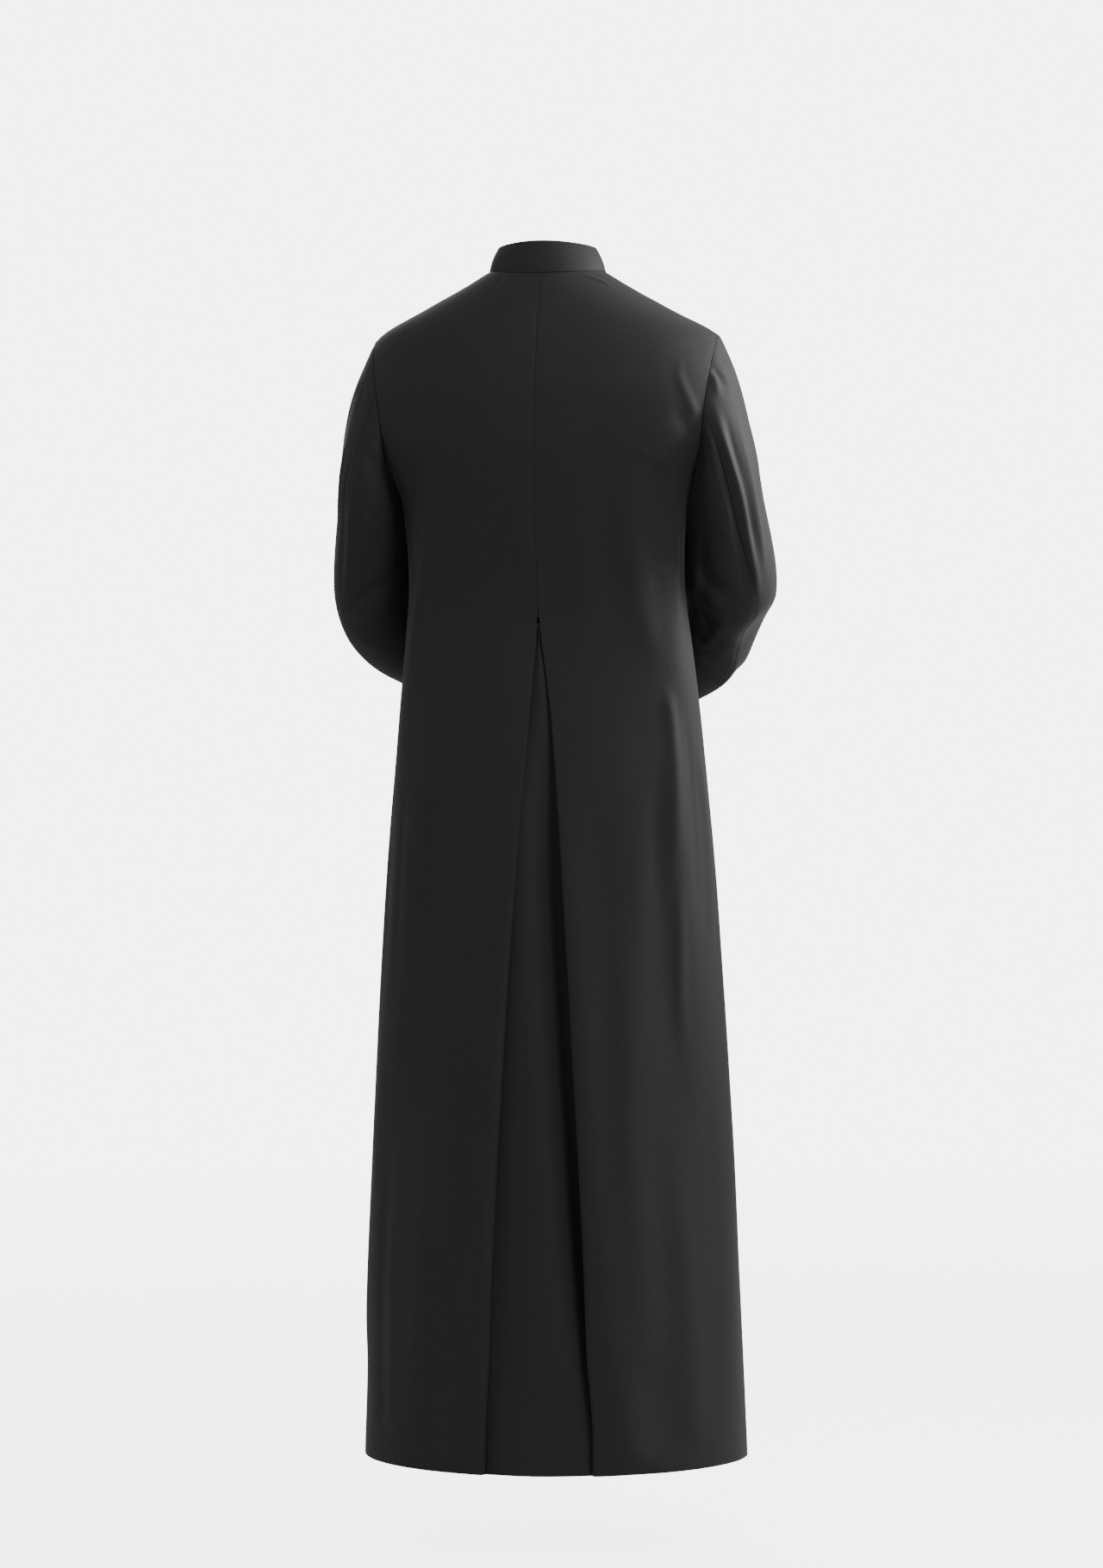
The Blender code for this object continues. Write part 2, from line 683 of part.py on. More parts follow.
def sleeve_rows(arm, under):
    """The outer and inner faces of the top sleeve or the under sleeve, as on the wearer's left arm."""
    outer, inner = [], []
    columns = UNDER_SLEEVE_COLUMNS if under else TOP_SLEEVE_COLUMNS
    for reach in sleeve_reaches():
        seams = arm.seams.at(reach)
        start, end = (seams.hind, seams.fore + 360) if under else (seams.fore, seams.hind)
        half_gap = math.degrees(SEAM_GAP / 2 / SLEEVE.at(max(0.0, reach)).out)
        start, end = start + half_gap, end - half_gap
        turns = [mix(start, end, j / columns) for j in range(columns + 1)]
        outer.append([bare_sleeve_point(arm, reach, turn) for turn in turns])
        inner.append([sleeve_inner_point(arm, reach, turn) for turn in turns])
    return outer, inner


def main():
    for obj in list(bpy.data.objects):
        bpy.data.objects.remove(obj)
    cloth = cloth_material("black worsted twill", BLACK_CLOTH, 0.8)
    covered = cloth_material("cloth-covered buttons", BLACK_CLOTH, 0.7)
    keep("back_left", cloth_wall(*back_rows(), flip_from=0), cloth)
    keep("back_right", cloth_wall(*back_rows(), flip_from=0), cloth, mirrored=True)
    middle = UNDERLAY_STEPS + RETURN_STEPS
    keep("pleat_underlay", cloth_wall(*underlay_rows(), flip_from=middle), cloth)
    front_left = keep("front_left", cloth_wall(*front_rows(lap_lift)), cloth)
    keep("front_right", cloth_wall(*front_rows(lambda x: 0.0)), cloth, mirrored=True)
    keep("collar", cloth_wall(*collar_rows()), cloth)
    for side, arm in ARMS.items():
        for name, under in (("top", False), ("under", True)):
            wall = cloth_wall(*sleeve_rows(arm, under))
            keep(f"sleeve_{name}_{side}", wall, cloth, mirrored=side == "right")
    bpy.context.view_layer.update()
    for number in range(BUTTON_COUNT):
        button(number, front_left, covered)


main()
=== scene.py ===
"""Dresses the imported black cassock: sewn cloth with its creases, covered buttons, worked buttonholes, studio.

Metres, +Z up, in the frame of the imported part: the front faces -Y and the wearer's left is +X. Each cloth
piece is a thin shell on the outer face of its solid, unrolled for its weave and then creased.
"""

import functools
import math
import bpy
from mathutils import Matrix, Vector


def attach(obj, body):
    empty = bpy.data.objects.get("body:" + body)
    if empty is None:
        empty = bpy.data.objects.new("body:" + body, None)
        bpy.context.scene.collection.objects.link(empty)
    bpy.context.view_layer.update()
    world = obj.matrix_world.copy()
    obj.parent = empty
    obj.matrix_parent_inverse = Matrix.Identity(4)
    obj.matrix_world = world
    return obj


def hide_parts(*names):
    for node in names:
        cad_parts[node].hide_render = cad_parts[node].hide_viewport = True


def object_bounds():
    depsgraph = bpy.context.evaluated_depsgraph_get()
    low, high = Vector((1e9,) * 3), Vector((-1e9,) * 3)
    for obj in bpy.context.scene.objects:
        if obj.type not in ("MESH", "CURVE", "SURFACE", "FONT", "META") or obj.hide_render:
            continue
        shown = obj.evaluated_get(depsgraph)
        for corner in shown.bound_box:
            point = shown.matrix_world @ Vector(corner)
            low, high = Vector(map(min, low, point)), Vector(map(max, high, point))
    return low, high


bl_info = {
    "name": "Cassock",
    "version": (1, 0, 0),
    "blender": (4, 5, 0),
    "location": "3D View > Sidebar > Cassock",
    "description": "Makes the cloth, buttons, buttonholes and studio of a worn black cassock",
    "category": "Object",
}

from types import SimpleNamespace

import bmesh
import bpy
import numpy as np
from bpy.props import FloatProperty, FloatVectorProperty, IntProperty, PointerProperty
from mathutils import Matrix, Vector, noise
from mathutils.bvhtree import BVHTree
from mathutils.kdtree import KDTree

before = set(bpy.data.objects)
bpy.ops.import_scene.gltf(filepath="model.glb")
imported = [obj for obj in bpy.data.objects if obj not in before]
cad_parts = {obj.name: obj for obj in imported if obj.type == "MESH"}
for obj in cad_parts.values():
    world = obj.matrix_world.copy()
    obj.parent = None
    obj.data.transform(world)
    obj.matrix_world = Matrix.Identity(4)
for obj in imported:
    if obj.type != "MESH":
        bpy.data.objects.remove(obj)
CAD_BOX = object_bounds()
HEM = CAD_BOX[0].z

BODY_NODES = ("back_left", "back_right", "pleat_underlay", "front_left", "front_right")
SLEEVE_NODES = {
    "left": ("sleeve_top_left", "sleeve_under_left"),
    "right": ("sleeve_top_right", "sleeve_under_right"),
}
CLOTH_NODES = (*BODY_NODES, "collar", *SLEEVE_NODES["left"], *SLEEVE_NODES["right"])
BUTTON_NODES = sorted(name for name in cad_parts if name.startswith("button_"))


def linear(hex_colour):
    """An sRGB hex colour as linear red, green and blue."""
    parts = [int(hex_colour[i:i + 2], 16) / 255 for i in (1, 3, 5)]
    return tuple(c / 12.92 if c <= 0.04045 else ((c + 0.055) / 1.055) ** 2.4 for c in parts)


# Settings

def length_setting(name, about, default, low=0.0, high=10.0):
    return FloatProperty(
        name=name, description=about, subtype="DISTANCE", unit="LENGTH", default=default, min=low, max=high,
    )


def angle_setting(name, about, default):
    return FloatProperty(
        name=name, description=about, subtype="ANGLE", unit="ROTATION", default=math.radians(default),
    )


def colour_setting(name, about, default):
    return FloatVectorProperty(
        name=name, description=about, subtype="COLOR", size=3, min=0, max=1, default=linear(default),
    )


def power_setting(name, about, default):
    return FloatProperty(name=name, description=about, subtype="POWER", default=default, min=0, max=2000)


class CassockCloth(bpy.types.PropertyGroup):
    colour: colour_setting("Cloth colour", "Black worsted cloth", "#1B1B1C")
    worn_colour: colour_setting("Lighter threads", "Where the black is thinner", "#242425")
    thickness: length_setting("Cloth thickness", "Thickness of one layer", 0.0014, 0.001, 0.003)
    collar_thickness: length_setting(
        "Collar thickness", "Thickness of the stiffened collar", 0.0024, 0.001, 0.004,
    )
    twill_pitch: length_setting("Twill pitch", "Distance between twill lines as drawn", 0.0016, 0.0004, 0.004)
    crease_scale: FloatProperty(
        name="Crease depth", description="All creases, as a share of their own height",
        subtype="FACTOR", default=1.0, min=0, max=2,
    )
    seam_depth: length_setting("Edge roll", "Radius of the roll of a turned edge", 0.0008, high=0.002)
    subdivisions: IntProperty(
        name="Subdivisions", description="How finely the solid's faces are divided", default=3,
        min=1, max=3,
    )


class CassockButtons(bpy.types.PropertyGroup):
    segments: IntProperty(
        name="Segments", description="Sides of a covered button", default=36, min=12, max=64,
    )
    hole_length: length_setting("Buttonhole length", "Length of a worked buttonhole", 0.021, 0.016, 0.030)
    thread: length_setting("Thread", "Diameter of the buttonhole twist", 0.0007, 0.0003, 0.0012)


class CassockStudio(bpy.types.PropertyGroup):
    distance: length_setting("Camera distance", "From the camera to the cassock's axis", 5.2, 2.0)
    azimuth: angle_setting("Azimuth", "Where the camera stands, 180 straight behind", 187.2)
    roll: angle_setting("Roll", "Tilt of the camera about its line of sight", -0.37)
    aim_height: length_setting("Aim height", "Height that the camera looks at", -0.6415, -10.0)
    lens: FloatProperty(
        name="Lens", description="Focal length", subtype="DISTANCE_CAMERA", default=95.0, min=20, max=200,
    )
    hem_clearance: length_setting("Hem above the floor", "How high the hem hangs", 0.106, high=0.3)
    key_power: power_setting("Side light", "Power of the light that grazes the back", 38)
    soft_power: power_setting("Soft light", "Power of the light that the back is seen by", 102)
    front_power: power_setting("Front light", "Power of the light that the front is seen by", 70)
    fill_power: power_setting("Fill light", "Power of the light on the other side", 15)


# Materials

def add_node(tree, kind, settings=None, **sockets):
    """Adds a node, sets its properties, and sets or links its sockets, named with underscores for spaces."""
    node = tree.nodes.new(kind)
    for name, value in (settings or {}).items():
        setattr(node, name, value)
    for name, value in sockets.items():
        socket = next(s for s in node.inputs if s.name == name.replace("_", " ") and s.enabled)
        if isinstance(value, bpy.types.NodeSocket):
            tree.links.new(value, socket)
        else:
            socket.default_value = value
    return node


def new_material(name):
    """A material with an empty node tree and its output."""
    material = bpy.data.materials.get(name) or bpy.data.materials.new(name)
    material.use_nodes = True
    tree = material.node_tree
    tree.nodes.clear()
    return material, tree, tree.nodes.new("ShaderNodeOutputMaterial")


def mix_shaders(tree, share, first, second):
    """Mixes two shaders and gives the result, all of it the second where the share is 1."""
    mix = add_node(tree, "ShaderNodeMixShader", Fac=share)
    tree.links.new(first, mix.inputs[1])
    tree.links.new(second, mix.inputs[2])
    return mix.outputs["Shader"]


def worsted_cloth(name="black_worsted_twill", fineness=1.0):
    """Black worsted wool and polyester, woven in a fine steep twill and pressed.

    It drinks light, with only a faint bloom at grazing angles from the fibres' nap, so it is rough and
    lightly sheened. The real twill has some 25 lines to the centimetre, too fine to show, and is drawn
    about four times as coarse.
    """
    cloth = bpy.context.scene.cassock_cloth
    material, tree, output = new_material(name)
    place = add_node(tree, "ShaderNodeUVMap", {"uv_map": "cut"}).outputs["UV"]
    turned = add_node(
        tree, "ShaderNodeMapping", Vector=place, Rotation=(0, 0, math.radians(-27)),
        Scale=(fineness, fineness, fineness),
    ).outputs["Vector"]
    # A band of the wave texture is 2 pi / 20 wide at scale 1
    twill = add_node(
        tree, "ShaderNodeTexWave", {"wave_type": "BANDS", "bands_direction": "X"}, Vector=turned,
        Scale=2 * math.pi / 20 / cloth.twill_pitch, Distortion=1.2, Detail=2.0, Detail_Scale=2.0,
    ).outputs["Fac"]
    slub = add_node(
        tree, "ShaderNodeTexNoise", Vector=place, Scale=1 / 0.0022, Detail=4.0, Roughness=0.65,
    ).outputs["Fac"]
    cloud = add_node(
        tree, "ShaderNodeTexNoise", Vector=place, Scale=1 / 0.09, Detail=3.0, Roughness=0.55,
    ).outputs["Fac"]
    colour = add_node(
        tree, "ShaderNodeMix", {"data_type": "RGBA"}, Factor=slub,
        A=(*cloth.colour, 1), B=(*cloth.worn_colour, 1),
    )
    roughness = add_node(
        tree, "ShaderNodeMapRange", Value=cloud, From_Min=0.3, From_Max=0.7, To_Min=0.74, To_Max=0.70,
    ).outputs["Result"]
    threads = add_node(tree, "ShaderNodeBump", Height=twill, Strength=0.35, Distance=0.00025)
    fibres = add_node(
        tree, "ShaderNodeBump", Height=slub, Strength=0.3, Distance=0.0003,
        Normal=threads.outputs["Normal"],
    )
    shader = add_node(
        tree, "ShaderNodeBsdfPrincipled", Base_Color=colour.outputs["Result"], Roughness=roughness,
        Normal=fibres.outputs["Normal"], IOR=1.5, Specular_IOR_Level=0.35, Sheen_Weight=0.12,
        Sheen_Roughness=0.45, Sheen_Tint=(0.75, 0.76, 0.78, 1),
    )
    tree.links.new(shader.outputs["BSDF"], output.inputs["Surface"])
    return material


def buttonhole_twist():
    """Black silk buttonhole twist: tight, smooth thread, so each purl has its own small soft highlight."""
    material, tree, output = new_material("black_silk_twist")
    place = add_node(tree, "ShaderNodeTexCoord").outputs["Object"]
    strands = add_node(
        tree, "ShaderNodeTexNoise", Vector=place, Scale=1 / 0.0006, Detail=2.0,
    ).outputs["Fac"]
    ply = add_node(tree, "ShaderNodeBump", Height=strands, Strength=0.4, Distance=0.0002)
    shader = add_node(
        tree, "ShaderNodeBsdfPrincipled", Base_Color=(*linear("#17171A"), 1), Roughness=0.42,
        Normal=ply.outputs["Normal"], IOR=1.53, Sheen_Weight=0.1,
    )
    tree.links.new(shader.outputs["BSDF"], output.inputs["Surface"])
    return material


# Cloth shells

MERGE = 1e-5
# The solids' walls. A face of a wall's edge has a side as long as the wall is thick, or nearly so and
# straight through the wall.
WALL = {"collar": 0.0026}
USUAL_WALL = 0.0016
JUST, NEARLY = 3e-6, 3e-5
STRAIGHT_THROUGH = 0.6


def connected(bm):
    """The faces in groups that hang together."""
    left = set(bm.faces)
    groups = []
    while left:
        waiting = [left.pop()]
        group = []
        while waiting:
            face = waiting.pop()
            group.append(face)
            near = {other for edge in face.edges for other in edge.link_faces} & left
            left -= near
            waiting += near
        groups.append(group)
    return groups


def net_places(bm):
    """Whole-numbered places of the points of a net of triangles, found from face to face."""
    first = next(iter(bm.faces))
    places = dict(zip(first.verts, (Vector((0, 0)), Vector((1, 0)), Vector((1, 1)))))
    waiting, seen = [first], {first}
    while waiting:
        face = waiting.pop()
        for edge in face.edges:
            a, b = edge.verts
            for other in set(edge.link_faces) - seen:
                c = next(vert for vert in face.verts if vert not in edge.verts)
                d = next(vert for vert in other.verts if vert not in edge.verts)
                places.setdefault(d, places[a] + places[b] - places[c])
                seen.add(other)
                waiting.append(other)
    return places


def join_cells(bm):
    """Joins a net's triangles in pairs, across the family of parallel edges that are mostly the longest."""
    places = net_places(bm)
    for side in (-1, 1):
        families = {}
        for edge in bm.edges:
            a, b = edge.verts
            if (a.co.x + b.co.x) * side > 0 and not edge.is_boundary:
                step = places[a] - places[b]
                family = (abs(round(step.x)), abs(round(step.y)))
                longest = all(
                    edge == max(face.edges, key=lambda e: e.calc_length()) for face in edge.link_faces
                )
                families.setdefault(family, []).append((edge, longest))
        if families:
            across = max(families.values(), key=lambda family: sum(longest for _, longest in family))
            bmesh.ops.dissolve_edges(bm, edges=[edge for edge, _ in across], use_verts=False)


def outer_sheet(node):
    """The outer face of a cloth solid as a sheet of four-sided cells. Walls curve, so it is the larger."""
    bm = bmesh.new()
    bm.from_mesh(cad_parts[node].data)
    bmesh.ops.remove_doubles(bm, verts=bm.verts, dist=MERGE)
    bm.normal_update()
    wall = WALL.get(node, USUAL_WALL)
    across = set()
    for edge in bm.edges:
        a, b = edge.verts
        off = abs(edge.calc_length() - wall)
        through = max(abs(vert.normal.dot(a.co - b.co)) for vert in edge.verts) / wall
        if off < JUST or off < NEARLY and through > STRAIGHT_THROUGH:
            across.add(edge)
    rim = [face for face in bm.faces if across.intersection(face.edges)]
    bmesh.ops.delete(bm, geom=rim, context="FACES")
    outer = set(max(connected(bm), key=lambda group: sum(face.calc_area() for face in group)))
    bmesh.ops.delete(bm, geom=[face for face in bm.faces if face not in outer], context="FACES")
    bmesh.ops.holes_fill(bm, edges=[edge for edge in bm.edges if edge.is_boundary], sides=3)
    join_cells(bm)
    return bm


def place_mesh(bm, name):
    """A smooth-shaded object in the scene made from a bmesh."""
    mesh = bpy.data.meshes.new(name)
    bm.to_mesh(mesh)
    bm.free()
    mesh.shade_smooth()
    obj = bpy.data.objects.new(name, mesh)
    bpy.context.scene.collection.objects.link(obj)
    return obj


# A sheet's edge has a corner where it turns by more than this angle. Neighbours' corners that lie this near
# to each other are the same seam's end.
CORNER = math.radians(40)
SAME_END = 0.003


def corners_of(rim):
    """The points where a sheet's edge turns sharply, out of those on its rim."""
    corners = []
    for vert in rim:
        a, b = [edge.other_vert(vert).co - vert.co for edge in vert.link_edges if edge.is_boundary]
        if a.angle(-b) > CORNER:
            corners.append(vert)
    return corners


@functools.cache
def seam_ends():
    """A tree of every cloth piece's corners."""
    places = []
    for node in CLOTH_NODES:
        bm = outer_sheet(node)
        places += [vert.co.copy() for vert in corners_of([vert for vert in bm.verts if vert.is_boundary])]
        bm.free()
    return near_tree(places)


def hold_seam_ends(mesh):
    """Marks where a sheet's seams end, so that neither it nor its neighbour is rounded there when divided."""
    bm = bmesh.new()
    bm.from_mesh(mesh)
    held = bm.verts.layers.float.new("crease_vert")
    for vert in bm.verts:
        if vert.is_boundary and seam_ends().find(vert.co)[2] < SAME_END:
            vert[held] = 1.0
    bm.to_mesh(mesh)
    bm.free()


def divide(obj, levels):
    """Replaces a sheet's mesh by a smooth, finely divided one."""
    hold_seam_ends(obj.data)
    smooth = obj.modifiers.new("divide", "SUBSURF")
    smooth.levels = smooth.render_levels = levels
    smooth.boundary_smooth = "PRESERVE_CORNERS"
    graph = bpy.context.evaluated_depsgraph_get()
    coarse, obj_data = obj.data, bpy.data.meshes.new_from_object(obj.evaluated_get(graph))
    obj.modifiers.clear()
    obj.data = obj_data
    bpy.data.meshes.remove(coarse)
    obj.data.name = obj.name
    obj.data.shade_smooth()


def points_of(mesh):
    points = np.empty(len(mesh.vertices) * 3)
    mesh.vertices.foreach_get("co", points)
    return points.reshape(-1, 3)


def normals_of(mesh):
    normals = np.empty(len(mesh.vertices) * 3)
    mesh.vertex_normals.foreach_get("vector", normals)
    return normals.reshape(-1, 3)


def unroll(obj):
    """Gives a sheet the UV map of its flat cut, in metres with the grain upright. Returns the cut's size."""
    for other in bpy.context.selected_objects:
        other.select_set(False)
    bpy.context.view_layer.objects.active = obj
    obj.select_set(True)
    obj.data.uv_layers.new(name="cut")
    bpy.ops.object.mode_set(mode="EDIT")
    bpy.ops.mesh.select_all(action="SELECT")
    bpy.ops.uv.unwrap(method="ANGLE_BASED", margin=0.0)
    bpy.ops.object.mode_set(mode="OBJECT")
    obj.select_set(False)
    mesh = obj.data
    flat = np.empty(len(mesh.loops) * 2)
    mesh.uv_layers["cut"].uv.foreach_get("vector", flat)
    flat = flat.reshape(-1, 2)
    corner = np.empty(len(mesh.loops), dtype=int)
    mesh.loops.foreach_get("vertex_index", corner)
    height = points_of(mesh)[corner, 2]
    flat -= flat.mean(axis=0)
    up = np.linalg.lstsq(flat, height - height.mean(), rcond=None)[0]
    up /= np.linalg.norm(up)
    flat = flat @ np.array([[up[1], up[0]], [-up[0], up[1]]])
    area = sum(face.area for face in mesh.polygons)
    starts = np.empty(len(mesh.polygons), dtype=int)
    mesh.polygons.foreach_get("loop_start", starts)
    turn = np.roll(flat, -1, axis=0)
    ends = np.append(starts[1:], len(flat)) - 1
    turn[ends] = flat[starts]
    covered = abs((flat[:, 0] * turn[:, 1] - flat[:, 1] * turn[:, 0]).sum()) / 2
    flat *= math.sqrt(area / covered)
    mesh.uv_layers["cut"].uv.foreach_set("vector", flat.ravel())
    size = flat.max(axis=0) - flat.min(axis=0)
    return SimpleNamespace(width=float(size[0]), length=float(size[1]), area=float(area))


def cloth_sheet(node):
    """A node's outer face, unrolled and finely divided, and the size of its flat cut."""
    obj = place_mesh(outer_sheet(node), node + "_cloth")
    cut = unroll(obj)
    divide(obj, bpy.context.scene.cassock_cloth.subdivisions)
    return obj, cut


# Creases

# The side each view is seen from, and which way across is counted
VIEWS = {
    "back": (Vector((0, 1, 0)), Vector((1, 0, 0))),
    "front": (Vector((0, -1, 0)), Vector((1, 0, 0))),
    "left": (Vector((1, 0, 0)), Vector((0, 1, 0))),
    "right": (Vector((-1, 0, 0)), Vector((0, 1, 0))),
}

# A crease is drawn as seen from one side, through places given across and up. Height is how far a ridge
# stands out, below 0 for a trough, and width is its half width. All are in millimetres. It fades in over
# the first share of its length and out over the last, which are the usual ones where a row ends early.
CREASE_COLUMNS = ("seen_from", "route", "height", "width", "fade_in", "fade_out")
USUAL_FADES = {"fade_in": 0.4, "fade_out": 0.4}
BODY_CREASES = (
    # Beside the collar
    ("back", ((-50, -10), (-70, -15), (-90, -25)), 1.4, 4, 0.3, 0.4),
    ("back", ((50, -10), (55, -25)), -1.2, 4),
    # Drag lines from the right armhole down to the shoulder blade
    ("back", ((-175, -115), (-175, -145), (-195, -195)), 1.5, 7, 0.5, 0.15),
    ("back", ((-165, -175), (-190, -220)), -1.8, 11, 0.5, 0.2),
    ("back", ((-120, -230), (-160, -250)), 0.7, 6),
    ("back", ((-125, -240), (-145, -260), (-155, -300)), -1.2, 12, 0.4, 0.5),
    # Long soft folds down from the shoulder blades
    ("back", ((-125, -220), (-115, -320), (-120, -420), (-160, -525)), 2.0, 17, 0.3, 0.35),
    ("back", ((-150, -240), (-145, -350), (-160, -470)), -1.8, 14),
    ("back", ((-170, -270), (-165, -370), (-170, -470)), 2.0, 8),
    ("back", ((135, -250), (145, -360), (165, -460), (170, -520)), 3.4, 9, 0.3, 0.4),
    ("back", ((150, -220), (165, -340), (175, -400)), -3.4, 12, 0.3, 0.3),
    ("back", ((175, -215), (180, -265), (170, -375)), 1.8, 6),
    ("back", ((70, -270), (85, -440), (95, -525)), 1.6, 22, 0.5, 0.5),
    ("back", ((-50, -270), (-65, -440), (-75, -525)), 1.6, 24, 0.5, 0.5),
    # The right hip and the folds that fall from it
    ("back", ((-155, -525), (-165, -630), (-165, -770)), 3.2, 11, 0.1, 0.5),
    ("back", ((-175, -540), (-185, -690), (-190, -845)), -0.9, 7, 0.2, 0.4),
    ("back", ((-185, -560), (-200, -720), (-205, -900)), 2.4, 11, 0.3, 0.4),
    ("back", ((-145, -590), (-145, -700), (-150, -865)), -2.2, 14),
    ("back", ((-170, -740), (-170, -900), (-175, -1000)), 2.4, 10),
    ("back", ((-120, -610), (-120, -800), (-145, -1160)), 2.0, 26),
    ("back", ((-95, -740), (-110, -1050), (-135, -1390)), 2.6, 24, 0.4, 0.1),
    ("back", ((-160, -1055), (-175, -1250), (-185, -1465)), 2.4, 22, 0.4, 0.1),
    # The left of the skirt
    ("back", ((140, -525), (150, -700), (160, -900)), 2.4, 16, 0.3, 0.5),
    ("back", ((170, -590), (185, -800), (190, -985)), -2.2, 12, 0.4, 0.5),
    ("back", ((95, -570), (105, -800), (115, -1030)), 1.8, 22, 0.4, 0.5),
    ("back", ((50, -780), (65, -1050), (75, -1420)), 2.4, 12, 0.4, 0.1),
    ("back", ((135, -1000), (150, -1200), (160, -1465)), 2.2, 20, 0.4, 0.1),
    ("back", ((195, -1060), (205, -1250), (205, -1465)), -1.8, 14, 0.4, 0.1),
    # The sides of the skirt
    ("left", ((10, -560), (20, -800), (10, -1050), (20, -1380)), 3.0, 16, 0.3, 0.1),
    ("left", ((-45, -700), (-50, -1100), (-60, -1450)), -2.6, 15, 0.4, 0.1),
    ("right", ((5, -580), (20, -950), (15, -1300)), 2.8, 15, 0.3, 0.3),
    ("right", ((-50, -640), (-45, -860), (-60, -1100), (-55, -1440)), -2.8, 16, 0.4, 0.1),
    # The fronts: drag lines from the armholes, then folds from the chest and over the thighs to the hem
    ("front", ((170, -150), (150, -185), (120, -215)), 1.2, 10, 0.4, 0.5),
    ("front", ((170, -185), (150, -220), (130, -260)), -1.5, 12, 0.4, 0.5),
    ("front", ((-165, -160), (-145, -195), (-115, -220)), 1.1, 10, 0.4, 0.5),
    ("front", ((-170, -190), (-155, -235), (-130, -280)), -1.4, 12, 0.4, 0.5),
    ("front", ((110, -270), (105, -380), (110, -500)), 2.6, 14),
    ("front", ((-105, -290), (-100, -400), (-110, -520)), 2.4, 13),
    ("front", ((70, -600), (80, -840), (100, -1440)), 3.0, 20, 0.4, 0.1),
    ("front", ((130, -660), (140, -920), (155, -1460)), -2.6, 17, 0.4, 0.1),
    ("front", ((-80, -640), (-90, -900), (-110, -1450)), 2.8, 19, 0.4, 0.1),
    ("front", ((-135, -580), (-155, -1050), (-150, -1330)), -2.8, 15, 0.4, 0.3),
)
